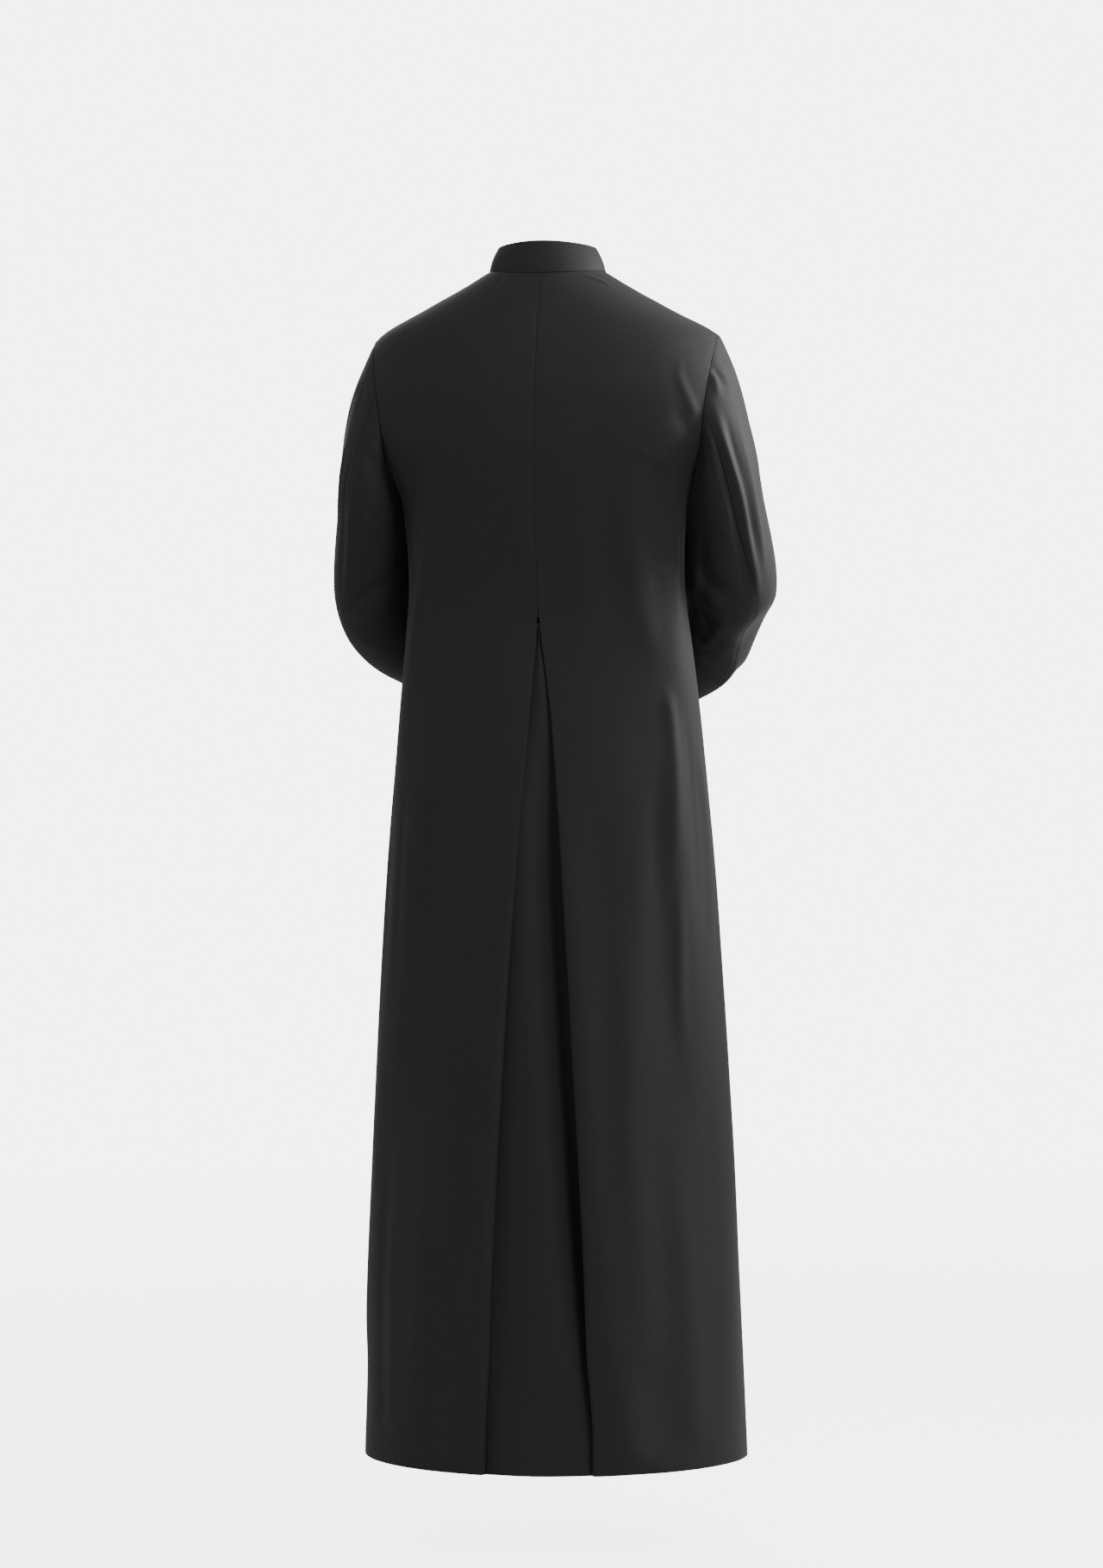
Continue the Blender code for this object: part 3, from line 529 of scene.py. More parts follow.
# The pleat stands open: its underlay lies farther in beside the right edge, and each panel swells a
# little beside the pleat, the right one more
OWN_CREASES = {
    "pleat_underlay": (
        ("back", ((-10, -500), (-15, -695), (-40, -1030), (-65, -1515)), -22.0, 28, 0.3, 0.3),
    ),
    "back_left": (
        ("back", ((30, -640), (60, -1090), (80, -1510)), 3.2, 20, 0.4, 0.02),
    ),
    "back_right": (
        ("back", ((-25, -560), (-50, -900), (-75, -1250), (-90, -1510)), 7.0, 30, 0.5, 0.02),
    ),
}
SLEEVE_CREASES = {
    "left": (
        # Small folds below the shoulder point
        ("back", ((225, -130), (240, -165)), 1.4, 5),
        ("back", ((220, -135), (230, -180)), -1.6, 6),
        # The band outside the hind seam and the hollow beside it
        ("back", ((245, -200), (260, -275), (270, -330)), 2.2, 6, 0.3, 0.4),
        ("back", ((230, -210), (255, -315), (270, -410)), -2.4, 6, 0.2, 0.3),
        ("back", ((225, -230), (245, -320), (265, -415)), 1.2, 6, 0.3, 0.4),
        # Slack of the under sleeve
        ("back", ((220, -220), (200, -275)), -2.2, 8, 0.3, 0.5),
        ("back", ((235, -285), (210, -330)), 1.8, 6, 0.3, 0.3),
        ("back", ((220, -290), (205, -330), (205, -370)), -2.6, 10, 0.3, 0.4),
        # Folds across the elbow
        ("back", ((260, -415), (220, -395), (185, -375)), -3.2, 8, 0.3, 0.2),
        ("back", ((260, -425), (220, -420), (190, -405)), 2.6, 8, 0.3, 0.3),
        ("back", ((265, -435), (225, -440), (190, -425)), -2.4, 8, 0.3, 0.3),
        ("back", ((255, -455), (210, -470)), 1.4, 8),
        # Down the outer arm, and in the crook of the elbow
        ("left", ((30, -110), (20, -190), (5, -280)), 2.2, 9, 0.3, 0.5),
        ("left", ((-10, -120), (-20, -210), (-30, -310)), -2.4, 10, 0.3, 0.4),
        ("left", ((-45, -330), (-60, -370), (-90, -410)), 2.2, 8, 0.4, 0.3),
        ("left", ((-60, -470), (-110, -485), (-150, -505)), -2.0, 10),
        ("front", ((260, -370), (230, -385), (195, -390)), -3.0, 8, 0.3, 0.2),
        ("front", ((250, -395), (220, -410), (190, -410)), 2.8, 8, 0.3, 0.2),
        ("front", ((245, -425), (215, -430), (185, -435)), -2.6, 8, 0.3, 0.3),
        ("front", ((220, -470), (180, -495), (140, -510)), 2.0, 9),
    ),
    "right": (
        # Folds that fan out from the shoulder point
        ("back", ((-210, -130), (-220, -170)), 2.2, 6),
        ("back", ((-210, -110), (-230, -155)), -3.0, 6, 0.3, 0.5),
        ("back", ((-215, -105), (-235, -145)), 1.8, 6, 0.4, 0.5),
        # The hollow beside the hind seam and the long ridges outside it
        ("back", ((-215, -205), (-235, -290), (-250, -370), (-255, -420)), -3.2, 8, 0.2, 0.2),
        ("back", ((-210, -160), (-230, -230), (-250, -305), (-260, -420)), 3.4, 8, 0.25, 0.15),
        ("back", ((-225, -175), (-245, -255), (-265, -375)), -2.8, 8, 0.3, 0.3),
        ("back", ((-235, -165), (-255, -250), (-270, -405)), 2.4, 8, 0.3, 0.3),
        # Raised edge of the hind seam
        ("back", ((-205, -200), (-220, -255), (-235, -320), (-250, -405)), 1.3, 5, 0.1, 0.5),
        # Folds across the elbow
        ("back", ((-220, -315), (-240, -355)), 1.0, 5),
        ("back", ((-160, -350), (-205, -380), (-240, -415)), -4.6, 9),
        ("back", ((-165, -380), (-200, -410), (-250, -430)), 2.6, 9),
        ("back", ((-165, -400), (-200, -445), (-245, -475)), -4.6, 9),
        ("back", ((-170, -440), (-195, -465), (-240, -480)), 2.4, 8),
        ("back", ((-185, -475), (-195, -510)), -2.0, 8, 0.3, 0.4),
        # Down the outer arm, and in the crook of the elbow
        ("right", ((30, -110), (25, -200), (10, -300)), 2.4, 9, 0.3, 0.4),
        ("right", ((-10, -130), (-20, -220), (-35, -320)), -2.2, 10, 0.3, 0.4),
        ("right", ((-50, -320), (-70, -360), (-95, -395)), 2.2, 8, 0.4, 0.3),
        ("right", ((-70, -480), (-120, -500), (-160, -525)), -2.0, 10),
        ("front", ((-255, -360), (-230, -370), (-195, -375)), -3.0, 8, 0.3, 0.2),
        ("front", ((-250, -385), (-220, -395), (-190, -395)), 2.6, 8, 0.3, 0.2),
        ("front", ((-245, -410), (-215, -420), (-185, -425)), -2.4, 8, 0.3, 0.3),
        ("front", ((-220, -460), (-175, -490), (-140, -515)), 2.2, 9),
    ),
}
# Soft moves of the cloth: where, how far and the reach, in millimetres
GARMENT_MOVES = (
    # The left shoulder is carried higher, and both sleeve heads are full
    ((140, 0, -60), (0, 0, 5), 150),
    ((220, 0, -130), (7, 0, 2), 120),
    ((-228, 0, -120), (-5, 0, 1), 100),
    ((0, 50, 20), (3, 0, 2), 120),
    # The centre back seam swings to the left, and the pleat starts lower
    ((0, 100, -300), (5, 0, 0), 300),
    ((0, 100, -440), (0, 0, -10), 120),
)
SLEEVE_MOVES = {
    "left": (),
    "right": (
        # The right sleeve lies against the side of the back
        ((-182, 0, -340), (9, 0, 0), 110),
        ((-195, 30, -265), (8, 0, 0), 70),
        ((-183, 0, -400), (8, 0, 0), 70),
        # Its elbow is drawn up to a blunt point
        ((-255, -60, -455), (12, 0, 8), 60),
        ((-200, -110, -525), (-11, 0, -7), 90),
    ),
}


def crease(row):
    return SimpleNamespace(**USUAL_FADES | dict(zip(CREASE_COLUMNS, row)))


def smooth_route(places, steps=8):
    """Points along a curve through the places, by Catmull and Rom's rule."""
    ends = [2 * places[0] - places[1], *places, 2 * places[-1] - places[-2]]
    points = []
    for a, b, c, d in zip(ends, ends[1:], ends[2:], ends[3:]):
        for i in range(steps):
            t = i / steps
            points.append(0.5 * (
                2 * b + (c - a) * t + (2 * a - 5 * b + 4 * c - d) * t * t
                + (3 * b - a - 3 * c + d) * t ** 3
            ))
    return points + [places[-1]]


# How far out the search for the nearest cloth starts where a line of sight misses it
BESIDE_CLOTH = 0.1


def on_surface(tree, seen_from, across, up):
    """Where a line of sight meets the surface, or the nearest place of it where it misses."""
    side, way = VIEWS[seen_from]
    place = way * across + Vector((0, 0, up))
    hit, _, _, _ = tree.ray_cast(place + side, -side)
    return hit or tree.find_nearest(place + side * BESIDE_CLOTH)[0]


def ease(t):
    t = np.clip(t, 0, 1)
    return t * t * (3 - 2 * t)


# A crease goes no deeper through the garment than this, and what lies off its level counts as farther away
REACH_THROUGH = 0.04
OFF_LEVEL = 0.2
# It starts narrower than it ends, in shares of its width
NARROW_START, WIDENING = 0.8, 0.4
# A ridge has a low hollow on both sides, and a trough a low rise, as shares of its height and width
BESIDE_HEIGHT, BESIDE_WIDTH = 0.28, 2.1
# Makes up for the height that this takes away
LIFT = 1.3


def crease_heights(points, outward, tree, rows):
    """How far each point moves out: every crease's soft ridge or trough, by the distance along the cloth."""
    total = np.zeros(len(points))
    for c in map(crease, rows):
        places = [on_surface(tree, c.seen_from, across / 1000, up / 1000) for across, up in c.route]
        route = smooth_route(places)
        knots = np.array([list(point) for point in route])
        starts, runs = knots[:-1], knots[1:] - knots[:-1]
        lengths = np.linalg.norm(runs, axis=1)
        gone = np.concatenate([[0], np.cumsum(lengths)[:-1]])
        nearest = np.full(len(points), 1e9)
        along = np.zeros(len(points))
        through = np.zeros(len(points))
        for start, run, length, before in zip(starts, runs, lengths, gone):
            away = points - start
            share = np.clip(away @ run / length ** 2, 0, 1)
            away -= share[:, None] * run
            deep = (away * outward).sum(axis=1)
            flat = away - deep[:, None] * outward
            distance = np.linalg.norm(flat, axis=1) + OFF_LEVEL * np.abs(deep)
            closer = distance < nearest
            nearest = np.where(closer, distance, nearest)
            along = np.where(closer, before + share * length, along)
            through = np.where(closer, np.abs(deep), through)
        share = along / lengths.sum()
        width = c.width / 1000 * (NARROW_START + WIDENING * share)
        bell = np.exp(-(nearest / width) ** 2)
        bell = bell - BESIDE_HEIGHT * np.exp(-(nearest / (BESIDE_WIDTH * width)) ** 2)
        fade = ease(share / c.fade_in) * ease((1 - share) / c.fade_out)
        fade = fade * ease(2 - 2 * through / REACH_THROUGH)
        total += c.height / 1000 * LIFT * bell * fade
    return total


# Waves of unevenness: length, height and place in the noise. Hanging cloth draws them out downwards.
RIPPLES = (
    (0.11, 0.0011, (2.0, 2.6, 0.0)),
    (0.042, 0.00045, (5.7, 2.6, 5.1)),
)
DRAWN_OUT = 0.35


def ripple_heights(points):
    """The small unevenness of hanging cloth: long soft waves with finer ones on them."""
    total = np.zeros(len(points))
    for length, height, shift in RIPPLES:
        stretch = Vector((1 / length, 1 / length, DRAWN_OUT / length))
        total += [
            height * noise.noise(Vector((x * stretch.x, y * stretch.y, z * stretch.z)) + Vector(shift))
            for x, y, z in points
        ]
    return total


def near_tree(points):
    """A tree that finds the nearest of some points."""
    tree = KDTree(len(points))
    for i, point in enumerate(points):
        tree.insert(point, i)
    tree.balance()
    return tree


# How near the points on both sides of a seam lie to each other
JOINED_WITHIN = 0.002


def share_normals(sheets):
    """Every sheet's normals, with those on both sides of a seam made the same."""
    normals = {obj: normals_of(obj.data) for obj in sheets}
    rims = {obj: rim_points(obj) for obj in sheets}
    places = np.concatenate([points_of(obj.data)[rims[obj]] for obj in sheets])
    around = np.concatenate([normals[obj][rims[obj]] for obj in sheets])
    tree = near_tree(places)
    shared = np.array([
        sum(around[i] for _, i, _ in tree.find_range(place, JOINED_WITHIN) if around[i] @ own > 0)
        for place, own in zip(places, around)
    ])
    shared /= np.linalg.norm(shared, axis=1)[:, None]
    start = 0
    for obj in sheets:
        normals[obj][rims[obj]] = shared[start:start + len(rims[obj])]
        start += len(rims[obj])
    return normals


# Cloth is turned under where its normal points this far inward
TURNED_UNDER = -0.02


def outward_directions(obj, normals):
    """The way out of the garment at each point: where cloth is turned under, that of the cloth over it."""
    points = points_of(obj.data)
    level = points * (1, 1, 0)
    out = (level * normals).sum(axis=1) > TURNED_UNDER * np.linalg.norm(level, axis=1)
    tree = near_tree(points[out])
    outer = normals[out]
    for i in np.flatnonzero(~out):
        normals[i] = outer[tree.find(points[i])[1]]
    return normals


def rim_points(obj):
    """The numbers of the points on a sheet's edges."""
    bm = bmesh.new()
    bm.from_mesh(obj.data)
    rim = [vert.index for vert in bm.verts if vert.is_boundary]
    bm.free()
    return rim


# How deep the cloth dips beside its edges, and how far from them it starts to
BODY_DIP, SLEEVE_DIP = 0.0003, 0.0010
DIP_REACH = 0.004


def edge_dips(obj, points, depth):
    """How far each point dips beside the cloth's edges, where a seam or a hem turns it in."""
    tree = near_tree(points[rim_points(obj)])
    distances = np.array([tree.find(point)[2] for point in points])
    return -depth * np.exp(-(distances / DIP_REACH) ** 2)


# The turned edge of a piece, as steps of a roll of radius 1: how far on past it, and how far in
ROLL_STEPS = ((0.50, 0.13), (0.37, 0.37), (0.13, 0.50), (0.0, 1.33))
# Past it a seam allowance goes on beneath the neighbour in these steps, as deep as this, where the
# neighbour's edge is this near and no corner is
ALLOWANCE_STEPS = (0.0012, 0.0020, 0.0040)
BENEATH = 0.0019
SEAM_WITHIN = 0.004
CLEAR_OF_CORNER = 0.004
# The roll's share where the centre back seam and the back of the collar's are pressed flat, and along the
# pleat's folds
PRESSED, ALONG_PLEAT = 0.3, 0.1
PLEAT_HEAD = -0.436
CENTRE_SEAM, CENTRE_SEAM_WITHIN = 0.004, 0.005
COLLAR_SEAM, BEHIND_SHOULDER = -0.025, 0.02


def grow_edge(bm, edges, ways, past=0.0, deep=0.0):
    """Extrudes edges and moves the new rim past the old one and in. Gives the new edges and their ways."""
    old = list(ways)
    before = near_tree([vert.co for vert in old])
    grown = bmesh.ops.extrude_edge_only(bm, edges=edges)["geom"]
    fresh = [item for item in grown if isinstance(item, bmesh.types.BMVert)]
    ways = {vert: ways[old[before.find(vert.co)[1]]] for vert in fresh}
    rim = [
        item for item in grown
        if isinstance(item, bmesh.types.BMEdge) and item.is_boundary and ways.keys() >= set(item.verts)
    ]
    for vert, way in ways.items():
        vert.co += (way.on * past + way.under * deep) * way.share
    return rim, ways


def lay_beneath(ways, past, over):
    """Carries points on past an edge, just beneath the cloth that lies over them."""
    for vert, way in ways.items():
        place, out, _, _ = over.find_nearest(vert.co)
        along = (way.on - out * way.on.dot(out)).normalized()
        vert.co += along * past - out * (BENEATH - out.dot(place - vert.co))


def turn_edges(obj, over, sewn_at):
    """Rolls a sheet's edges inward, and carries it on beneath the cloth that it is sewn under."""
    radius = bpy.context.scene.cassock_cloth.seam_depth
    bm = bmesh.new()
    bm.from_mesh(obj.data)
    edges = [edge for edge in bm.edges if edge.is_boundary]
    ways = {
        vert: SimpleNamespace(on=Vector(), under=Vector(), share=1.0, sewn=False)
        for edge in edges for vert in edge.verts
    }
    corners = near_tree([vert.co for vert in corners_of(ways)])
    for edge in edges:
        a, b = edge.verts
        face = edge.link_faces[0]
        away = (b.co - a.co).cross(face.normal).normalized()
        if away.dot(face.calc_center_median() - a.co) > 0:
            away.negate()
        for vert in edge.verts:
            ways[vert].on += away
            ways[vert].under -= face.normal
    for vert, way in ways.items():
        way.on.normalize()
        way.under.normalize()
        if abs(vert.co.x - CENTRE_SEAM) < CENTRE_SEAM_WITHIN and vert.co.y > 0:
            way.share = PRESSED if vert.co.z > PLEAT_HEAD else ALONG_PLEAT
        elif vert.co.z > COLLAR_SEAM and vert.co.y > BEHIND_SHOULDER:
            way.share = PRESSED
        if sewn_at and way.share > ALONG_PLEAT and not corners.find_range(vert.co, CLEAR_OF_CORNER):
            way.sewn = sewn_at.find(vert.co)[2] < SEAM_WITHIN
    for vert, way in ways.items():
        vert.co -= way.on * radius * way.share
    for past, deep in ROLL_STEPS:
        edges, ways = grow_edge(bm, edges, ways, past * radius, deep * radius)
    ways = {vert: way for vert, way in ways.items() if way.sewn}
    edges = [edge for edge in edges if ways.keys() >= set(edge.verts)]
    if edges:
        for past in ALLOWANCE_STEPS:
            edges, ways = grow_edge(bm, edges, ways)
            lay_beneath(ways, past, over)
    bm.to_mesh(obj.data)
    bm.free()
    obj.data.shade_smooth()


def finish_cloth(obj, node, thickness):
    """Gives a creased sheet its thickness and its material, hangs it on the model's root body and hides its
    solid.
    """
    wall = obj.modifiers.new("thickness", "SOLIDIFY")
    wall.thickness = thickness
    wall.offset = -1.0
    obj.data.materials.clear()
    obj.data.materials.append(worsted_cloth())
    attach(obj, "root")
    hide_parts(node)


def joined_tree(objects):
    """A tree of all the faces of some sheets."""
    whole = bmesh.new()
    for obj in objects:
        whole.from_mesh(obj.data)
    tree = BVHTree.FromBMesh(whole)
    whole.free()
    return tree


def soft_moves(points, moves):
    """Pulls the cloth about: each move shifts what lies near a place, less and less towards its reach."""
    shifted = points.copy()
    for place, shift, reach in moves:
        far = np.linalg.norm(points - np.divide(place, 1000), axis=1) / (reach / 1000)
        shifted += ease(1 - far)[:, None] * np.divide(shift, 1000)
    return shifted


def move_points(obj, points):
    obj.data.vertices.foreach_set("co", points.ravel())
    obj.data.update()


def shape_group(nodes, creases, moves, dip):
    """Makes the sheets of some nodes and creases them as one surface, so that neighbours stay joined."""
    cloth = bpy.context.scene.cassock_cloth
    made = {node: cloth_sheet(node) for node in nodes}
    sheets = {node: obj for node, (obj, _) in made.items()}
    cuts = {node: cut for node, (_, cut) in made.items()}
    tree = joined_tree(sheets.values())
    normals = share_normals(sheets.values())
    for node, obj in sheets.items():
        points, outward = points_of(obj.data), outward_directions(obj, normals[obj])
        rows = (*creases, *OWN_CREASES.get(node, ()))
        height = crease_heights(points, outward, tree, rows) * cloth.crease_scale
        height += ripple_heights(points)
        height += edge_dips(obj, points, dip)
        points = soft_moves(points + outward * height[:, None], (*GARMENT_MOVES, *moves))
        move_points(obj, points)
    return sheets, cuts


# Which pieces each piece is sewn under
SEWN_UNDER = {
    "collar": ("back_left", "back_right", "front_left", "front_right"),
    "back_right": ("back_left",),
    "front_left": ("back_left",),
    "front_right": ("back_right",),
    "sleeve_top_left": ("back_left", "front_left"),
    "sleeve_top_right": ("back_right", "front_right"),
    "sleeve_under_left": ("back_left", "front_left", "sleeve_top_left"),
    "sleeve_under_right": ("back_right", "front_right", "sleeve_top_right"),
}


class CASSOCK_OT_body(bpy.types.Operator):
    """Makes the two backs, the pleat's underlay and the two fronts"""
    bl_idname = "cassock.body"
    bl_label = "Body cloth"

    def execute(self, context):
        cloth = context.scene.cassock_cloth
        sheets, cuts = shape_group(BODY_NODES, BODY_CREASES, (), BODY_DIP)
        for node, obj in sheets.items():
            finish_cloth(obj, node, cloth.thickness)
        return {"FINISHED"}


class CASSOCK_OT_sleeves(bpy.types.Operator):
    """Makes the four sleeve pieces"""
    bl_idname = "cassock.sleeves"
    bl_label = "Sleeves"

    def execute(self, context):
        cloth = context.scene.cassock_cloth
        for side, nodes in SLEEVE_NODES.items():
            sheets, cuts = shape_group(nodes, SLEEVE_CREASES[side], SLEEVE_MOVES[side], SLEEVE_DIP)
            for node, obj in sheets.items():
                finish_cloth(obj, node, cloth.thickness)
        return {"FINISHED"}


# Mean height of the curved band that the collar is cut as
COLLAR_HEIGHT = 0.037


class CASSOCK_OT_collar(bpy.types.Operator):
    """Makes the standing band collar"""
    bl_idname = "cassock.collar"
    bl_label = "Collar"

    def execute(self, context):
        cloth = context.scene.cassock_cloth
        obj, cut = cloth_sheet("collar")
        points = points_of(obj.data)
        height = ripple_heights(points)
        points = soft_moves(points + normals_of(obj.data) * height[:, None], GARMENT_MOVES)
        move_points(obj, points)
        cut.width, cut.length = cut.area / COLLAR_HEIGHT, COLLAR_HEIGHT
        finish_cloth(obj, "collar", cloth.collar_thickness)
        return {"FINISHED"}


class CASSOCK_OT_seams(bpy.types.Operator):
    """Turns every cut edge, and carries each piece on beneath those that it is sewn under"""
    bl_idname = "cassock.seams"
    bl_label = "Seams and hems"

    def execute(self, context):
        sheets = {node: bpy.data.objects[node + "_cloth"] for node in CLOTH_NODES}
        rims = {node: points_of(obj.data)[rim_points(obj)] for node, obj in sheets.items()}
        over = {node: joined_tree([sheets[other] for other in others]) for node, others in SEWN_UNDER.items()}
        for node, obj in sheets.items():
            if node in SEWN_UNDER:
                sewn_at = near_tree(np.concatenate([rims[other] for other in SEWN_UNDER[node]]))
                turn_edges(obj, over[node], sewn_at)
            else:
                turn_edges(obj, None, None)
        return {"FINISHED"}


# Buttons

# Half the outline of a covered button, in shares of its radius and height
BUTTON_PROFILE = (
    (0.00, 0.00), (0.86, 0.00), (0.95, 0.06), (1.00, 0.20), (0.99, 0.36), (0.93, 0.54), (0.80, 0.74),
    (0.60, 0.89), (0.32, 0.98), (0.00, 1.00),
)


def button_place(node):
    """Where a button sits: the middle of its flat underside, its outward direction, radius and height."""
    bm = bmesh.new()
    bm.from_mesh(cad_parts[node].data)
    bmesh.ops.remove_doubles(bm, verts=bm.verts, dist=MERGE)
    bmesh.ops.dissolve_limit(bm, angle_limit=math.radians(1), verts=bm.verts, edges=bm.edges)
    under = max(bm.faces, key=lambda face: face.calc_area())
    centre, out = under.calc_center_median(), -under.normal
    radius = max((vert.co - centre - out * (vert.co - centre).dot(out)).length for vert in bm.verts)
    height = max((vert.co - centre).dot(out) for vert in bm.verts)
    bm.free()
    return centre, out, radius, height


class CASSOCK_OT_buttons(bpy.types.Operator):
    """Makes the cloth-covered buttons"""
    bl_idname = "cassock.buttons"
    bl_label = "Covered buttons"

    def execute(self, context):
        buttons = context.scene.cassock_buttons
        material = worsted_cloth("black_worsted_button_cover", fineness=1.6)
        for node in BUTTON_NODES:
            centre, out, radius, height = button_place(node)
            bm = bmesh.new()
            verts = [bm.verts.new((x * radius, 0, z * height)) for x, z in BUTTON_PROFILE]
            edges = [bm.edges.new(pair) for pair in zip(verts, verts[1:])]
            bmesh.ops.spin(
                bm, geom=verts + edges, cent=(0, 0, 0), axis=(0, 0, 1), angle=2 * math.pi,
                steps=buttons.segments, use_merge=True,
            )
            bmesh.ops.remove_doubles(bm, verts=bm.verts, dist=MERGE)
            bmesh.ops.recalc_face_normals(bm, faces=bm.faces)
            cover = bm.loops.layers.uv.new("cut")
            for face in bm.faces:
                for loop in face.loops:
                    loop[cover].uv = (loop.vert.co.x, loop.vert.co.y + loop.vert.co.z)
            turn = out.to_track_quat("Z", "Y").to_matrix().to_4x4()
            bm.transform(Matrix.Translation(centre) @ turn)
            obj = place_mesh(bm, "covered_" + node)
            obj.data.materials.append(material)
            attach(obj, "root")
            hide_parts(node)
        return {"FINISHED"}


# Buttonholes

# How far a buttonhole starts back from its button's middle, and half the width of its purled edge
HOLE_START = 0.003
HOLE_HALF_WIDTH = 0.0011
# Length of a purl. Each is thinner at its ends than in its middle and stands a little proud of the cloth,
# in shares of the thread.
PURL = 0.0009
PURL_RADII = (0.44, 0.62)
PROUD = 0.35
THREAD_SIDES = 6


def stadium(length, half_width, step):
    """Points along and across, round a long loop with rounded ends."""
    straight = length - 2 * half_width
    sides = max(2, round(straight / step))
    turns = max(6, round(math.pi * half_width / step))
    loop = [(half_width + straight * i / sides, -half_width) for i in range(sides)]
    angles = [math.pi * i / turns for i in range(turns)]
    loop += [(length - half_width + half_width * math.sin(t), -half_width * math.cos(t)) for t in angles]
    return loop + [(length - along, -across) for along, across in loop]


class CASSOCK_OT_buttonholes(bpy.types.Operator):
    """Works a buttonhole in silk twist beneath each button, on the front that laps over"""
    bl_idname = "cassock.buttonholes"
    bl_label = "Buttonholes"

    def execute(self, context):
        buttons = context.scene.cassock_buttons
        material = buttonhole_twist()
        tree = joined_tree([bpy.data.objects["front_left_cloth"]])
        loop = stadium(buttons.hole_length, HOLE_HALF_WIDTH, PURL / 2)
        for node in BUTTON_NODES:
            centre, out, _, _ = button_place(node)
            along = (Vector((1, 0, 0)) - out * out.x).normalized()
            across = out.cross(along)
            bm = bmesh.new()
            rings = []
            for i, (x, y) in enumerate(loop):
                place, normal, _, _ = tree.find_nearest(centre + along * (x - HOLE_START) + across * y)
                before, after = loop[i - 1], loop[(i + 1) % len(loop)]
                way = (along * (after[0] - before[0]) + across * (after[1] - before[1])).normalized()
                side = way.cross(normal).normalized()
                radius = buttons.thread * PURL_RADII[i % 2]
                turns = [2 * math.pi * k / THREAD_SIDES for k in range(THREAD_SIDES)]
                rings.append([
                    bm.verts.new(place + radius * (side * math.cos(t) + normal * (PROUD + math.sin(t))))
                    for t in turns
                ])
            for ring, following in zip(rings, rings[1:] + rings[:1]):
                for k in range(THREAD_SIDES):
                    j = (k + 1) % THREAD_SIDES
                    bm.faces.new((ring[k], ring[j], following[j], following[k]))
            bmesh.ops.recalc_face_normals(bm, faces=bm.faces)
            obj = place_mesh(bm, "buttonhole_" + node[-2:])
            obj.data.materials.append(material)
            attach(obj, "root")
        return {"FINISHED"}


# Studio

class CASSOCK_OT_studio(bpy.types.Operator):
    """Makes the pale floor, the soft lights and the camera behind the cassock"""
    bl_idname = "cassock.studio"
    bl_label = "Studio"

    def execute(self, context):
        studio = context.scene.cassock_studio
        make_camera(studio)
        make_floor(HEM - studio.hem_clearance)
        make_lights(studio)
        return {"FINISHED"}


def make_camera(studio):
    data = bpy.data.cameras.new("camera")
    data.lens = studio.lens
    data.sensor_fit = "VERTICAL"
    data.sensor_height = 36.0
    cam = bpy.data.objects.new("camera", data)
    back = Vector((math.sin(studio.azimuth), -math.cos(studio.azimuth), 0))
    cam.location = Vector((0, 0, studio.aim_height)) + back * studio.distance
    cam.rotation_euler = back.to_track_quat("Z", "Y").to_euler()
    cam.rotation_euler.rotate_axis("Z", studio.roll)
    bpy.context.scene.collection.objects.link(cam)
    bpy.context.scene.camera = cam


FLOOR_RADIUS = 9.0
FADE_FROM, FADE_TO = 2.2, 5.5
FLOOR_GLOW = 5.0


def make_floor(height):
    """A round pale floor whose rim fades into the background."""
    bm = bmesh.new()
    bmesh.ops.create_circle(
        bm, cap_ends=True, radius=FLOOR_RADIUS, segments=96, matrix=Matrix.Translation((0, 0, height)),
    )
    floor = place_mesh(bm, "studio_floor")
    floor.data.materials.append(floor_paint())


def floor_paint():
    """Matte studio paint, pale grey, faded out towards the rim of the floor."""
    material, tree, output = new_material("pale_studio_paint")
    place = add_node(tree, "ShaderNodeTexCoord").outputs["Object"]
    away = add_node(tree, "ShaderNodeVectorMath", {"operation": "LENGTH"}, Vector=place).outputs["Value"]
    fade = add_node(
        tree, "ShaderNodeMapRange", {"interpolation_type": "SMOOTHSTEP"}, Value=away,
        From_Min=FADE_FROM, From_Max=FADE_TO,
    ).outputs["Result"]
    # It glows for the camera alone, so that it casts nothing on the cloth
    straight = add_node(tree, "ShaderNodeLightPath").outputs["Is Camera Ray"]
    glow = add_node(tree, "ShaderNodeMapRange", Value=straight, To_Max=FLOOR_GLOW).outputs["Result"]
    paint = add_node(
        tree, "ShaderNodeBsdfPrincipled", Base_Color=(*linear("#C8C8C8"), 1), Roughness=0.9,
        Specular_IOR_Level=0.1, Emission_Color=(*linear("#F2F2F2"), 1), Emission_Strength=glow,
    ).outputs["BSDF"]
    clear = add_node(tree, "ShaderNodeBsdfTransparent").outputs["BSDF"]
    tree.links.new(mix_shaders(tree, fade, paint, clear), output.inputs["Surface"])
    return material


# Soft lights: name, place, what it faces, width and height in metres, and the setting of its power
LIGHTS = (
    ("side_light", (-1.45, -0.40, 0.25), (-0.2, 0, -0.3), 0.5, 0.7, "key_power"),
    ("soft_light", (-2.3, 2.6, 2.3), (0, 0, -0.3), 1.2, 1.6, "soft_power"),
    ("fill_light", (3.4, 0.9, 0.2), (0, 0, -0.6), 1.4, 2.6, "fill_power"),
    ("front_light", (1.6, -4.2, 1.2), (0, 0, -0.6), 2.0, 2.6, "front_power"),
)
# The room's own light, and how bright the background looks
WORLD_LIGHT = 0.34
BACKDROP = 6.4


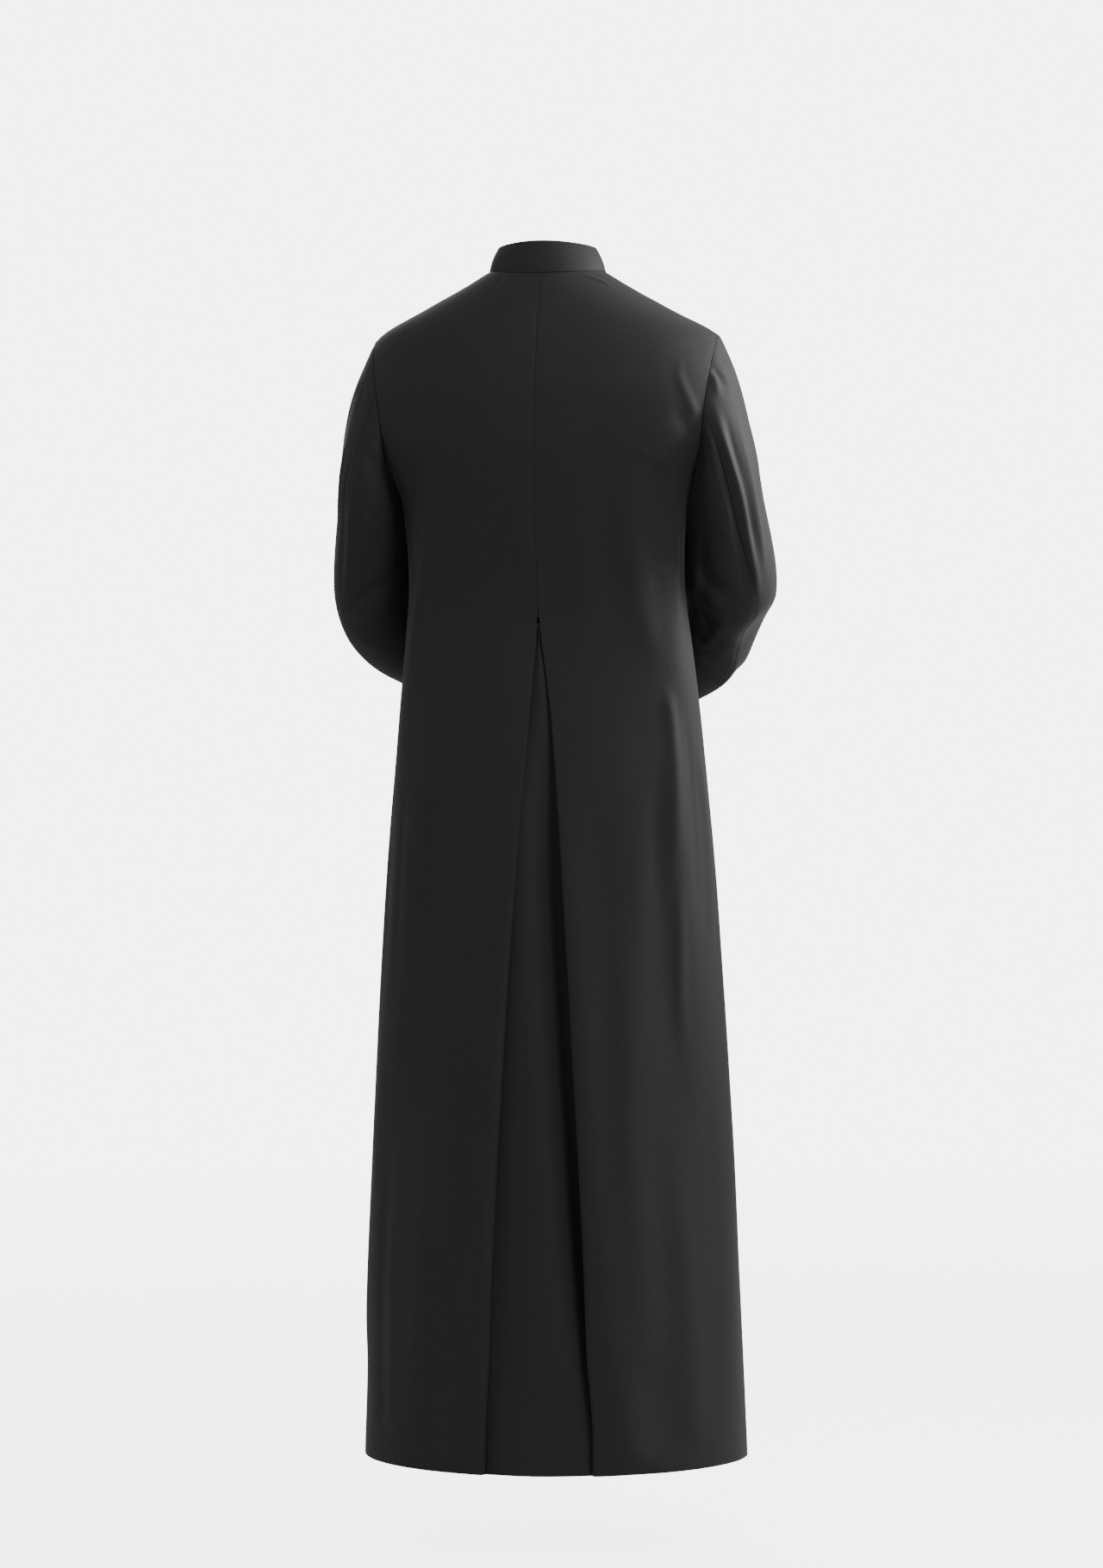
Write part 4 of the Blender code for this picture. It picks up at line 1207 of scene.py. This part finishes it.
def make_lights(studio):
    for name, place, aim, width, height, power in LIGHTS:
        data = bpy.data.lights.new(name, "AREA")
        data.shape = "RECTANGLE"
        data.size, data.size_y = width, height
        data.energy = getattr(studio, power)
        light = bpy.data.objects.new(name, data)
        light.location = place
        light.visible_camera = False
        light.rotation_euler = (Vector(place) - Vector(aim)).to_track_quat("Z", "Y").to_euler()
        bpy.context.scene.collection.objects.link(light)
    world = bpy.data.worlds.new("studio")
    world.use_nodes = True
    tree = world.node_tree
    tree.nodes.clear()
    grey = (*linear("#F2F2F2"), 1)
    room, seen = (
        add_node(tree, "ShaderNodeBackground", Color=grey, Strength=strength).outputs["Background"]
        for strength in (WORLD_LIGHT, BACKDROP)
    )
    straight = add_node(tree, "ShaderNodeLightPath").outputs["Is Camera Ray"]
    output = tree.nodes.new("ShaderNodeOutputWorld")
    tree.links.new(mix_shaders(tree, straight, room, seen), output.inputs["Surface"])
    bpy.context.scene.world = world


class CASSOCK_PT_panel(bpy.types.Panel):
    bl_idname = "CASSOCK_PT_panel"
    bl_label = "Cassock"
    bl_space_type = "VIEW_3D"
    bl_region_type = "UI"
    bl_category = "Cassock"

    def draw(self, context):
        for group in SETTINGS:
            box = self.layout.box()
            settings = getattr(context.scene, group)
            for name in settings.bl_rna.properties.keys():
                if name not in ("rna_type", "name"):
                    box.prop(settings, name)
        for operator in OPERATORS:
            self.layout.operator(operator.bl_idname)


SETTINGS = {
    "cassock_cloth": CassockCloth,
    "cassock_buttons": CassockButtons,
    "cassock_studio": CassockStudio,
}
OPERATORS = (
    CASSOCK_OT_studio, CASSOCK_OT_collar, CASSOCK_OT_body, CASSOCK_OT_sleeves, CASSOCK_OT_seams,
    CASSOCK_OT_buttons, CASSOCK_OT_buttonholes,
)


def register():
    for cls in (*SETTINGS.values(), *OPERATORS, CASSOCK_PT_panel):
        bpy.utils.register_class(cls)
    for name, cls in SETTINGS.items():
        setattr(bpy.types.Scene, name, PointerProperty(type=cls))


def unregister():
    for name in SETTINGS:
        delattr(bpy.types.Scene, name)
    for cls in reversed((*SETTINGS.values(), *OPERATORS, CASSOCK_PT_panel)):
        bpy.utils.unregister_class(cls)


def main():
    register()
    bpy.ops.cassock.studio()
    bpy.ops.cassock.collar()
    bpy.ops.cassock.body()
    bpy.ops.cassock.sleeves()
    bpy.ops.cassock.seams()
    bpy.ops.cassock.buttons()
    bpy.ops.cassock.buttonholes()


if __name__ == "__main__":
    main()
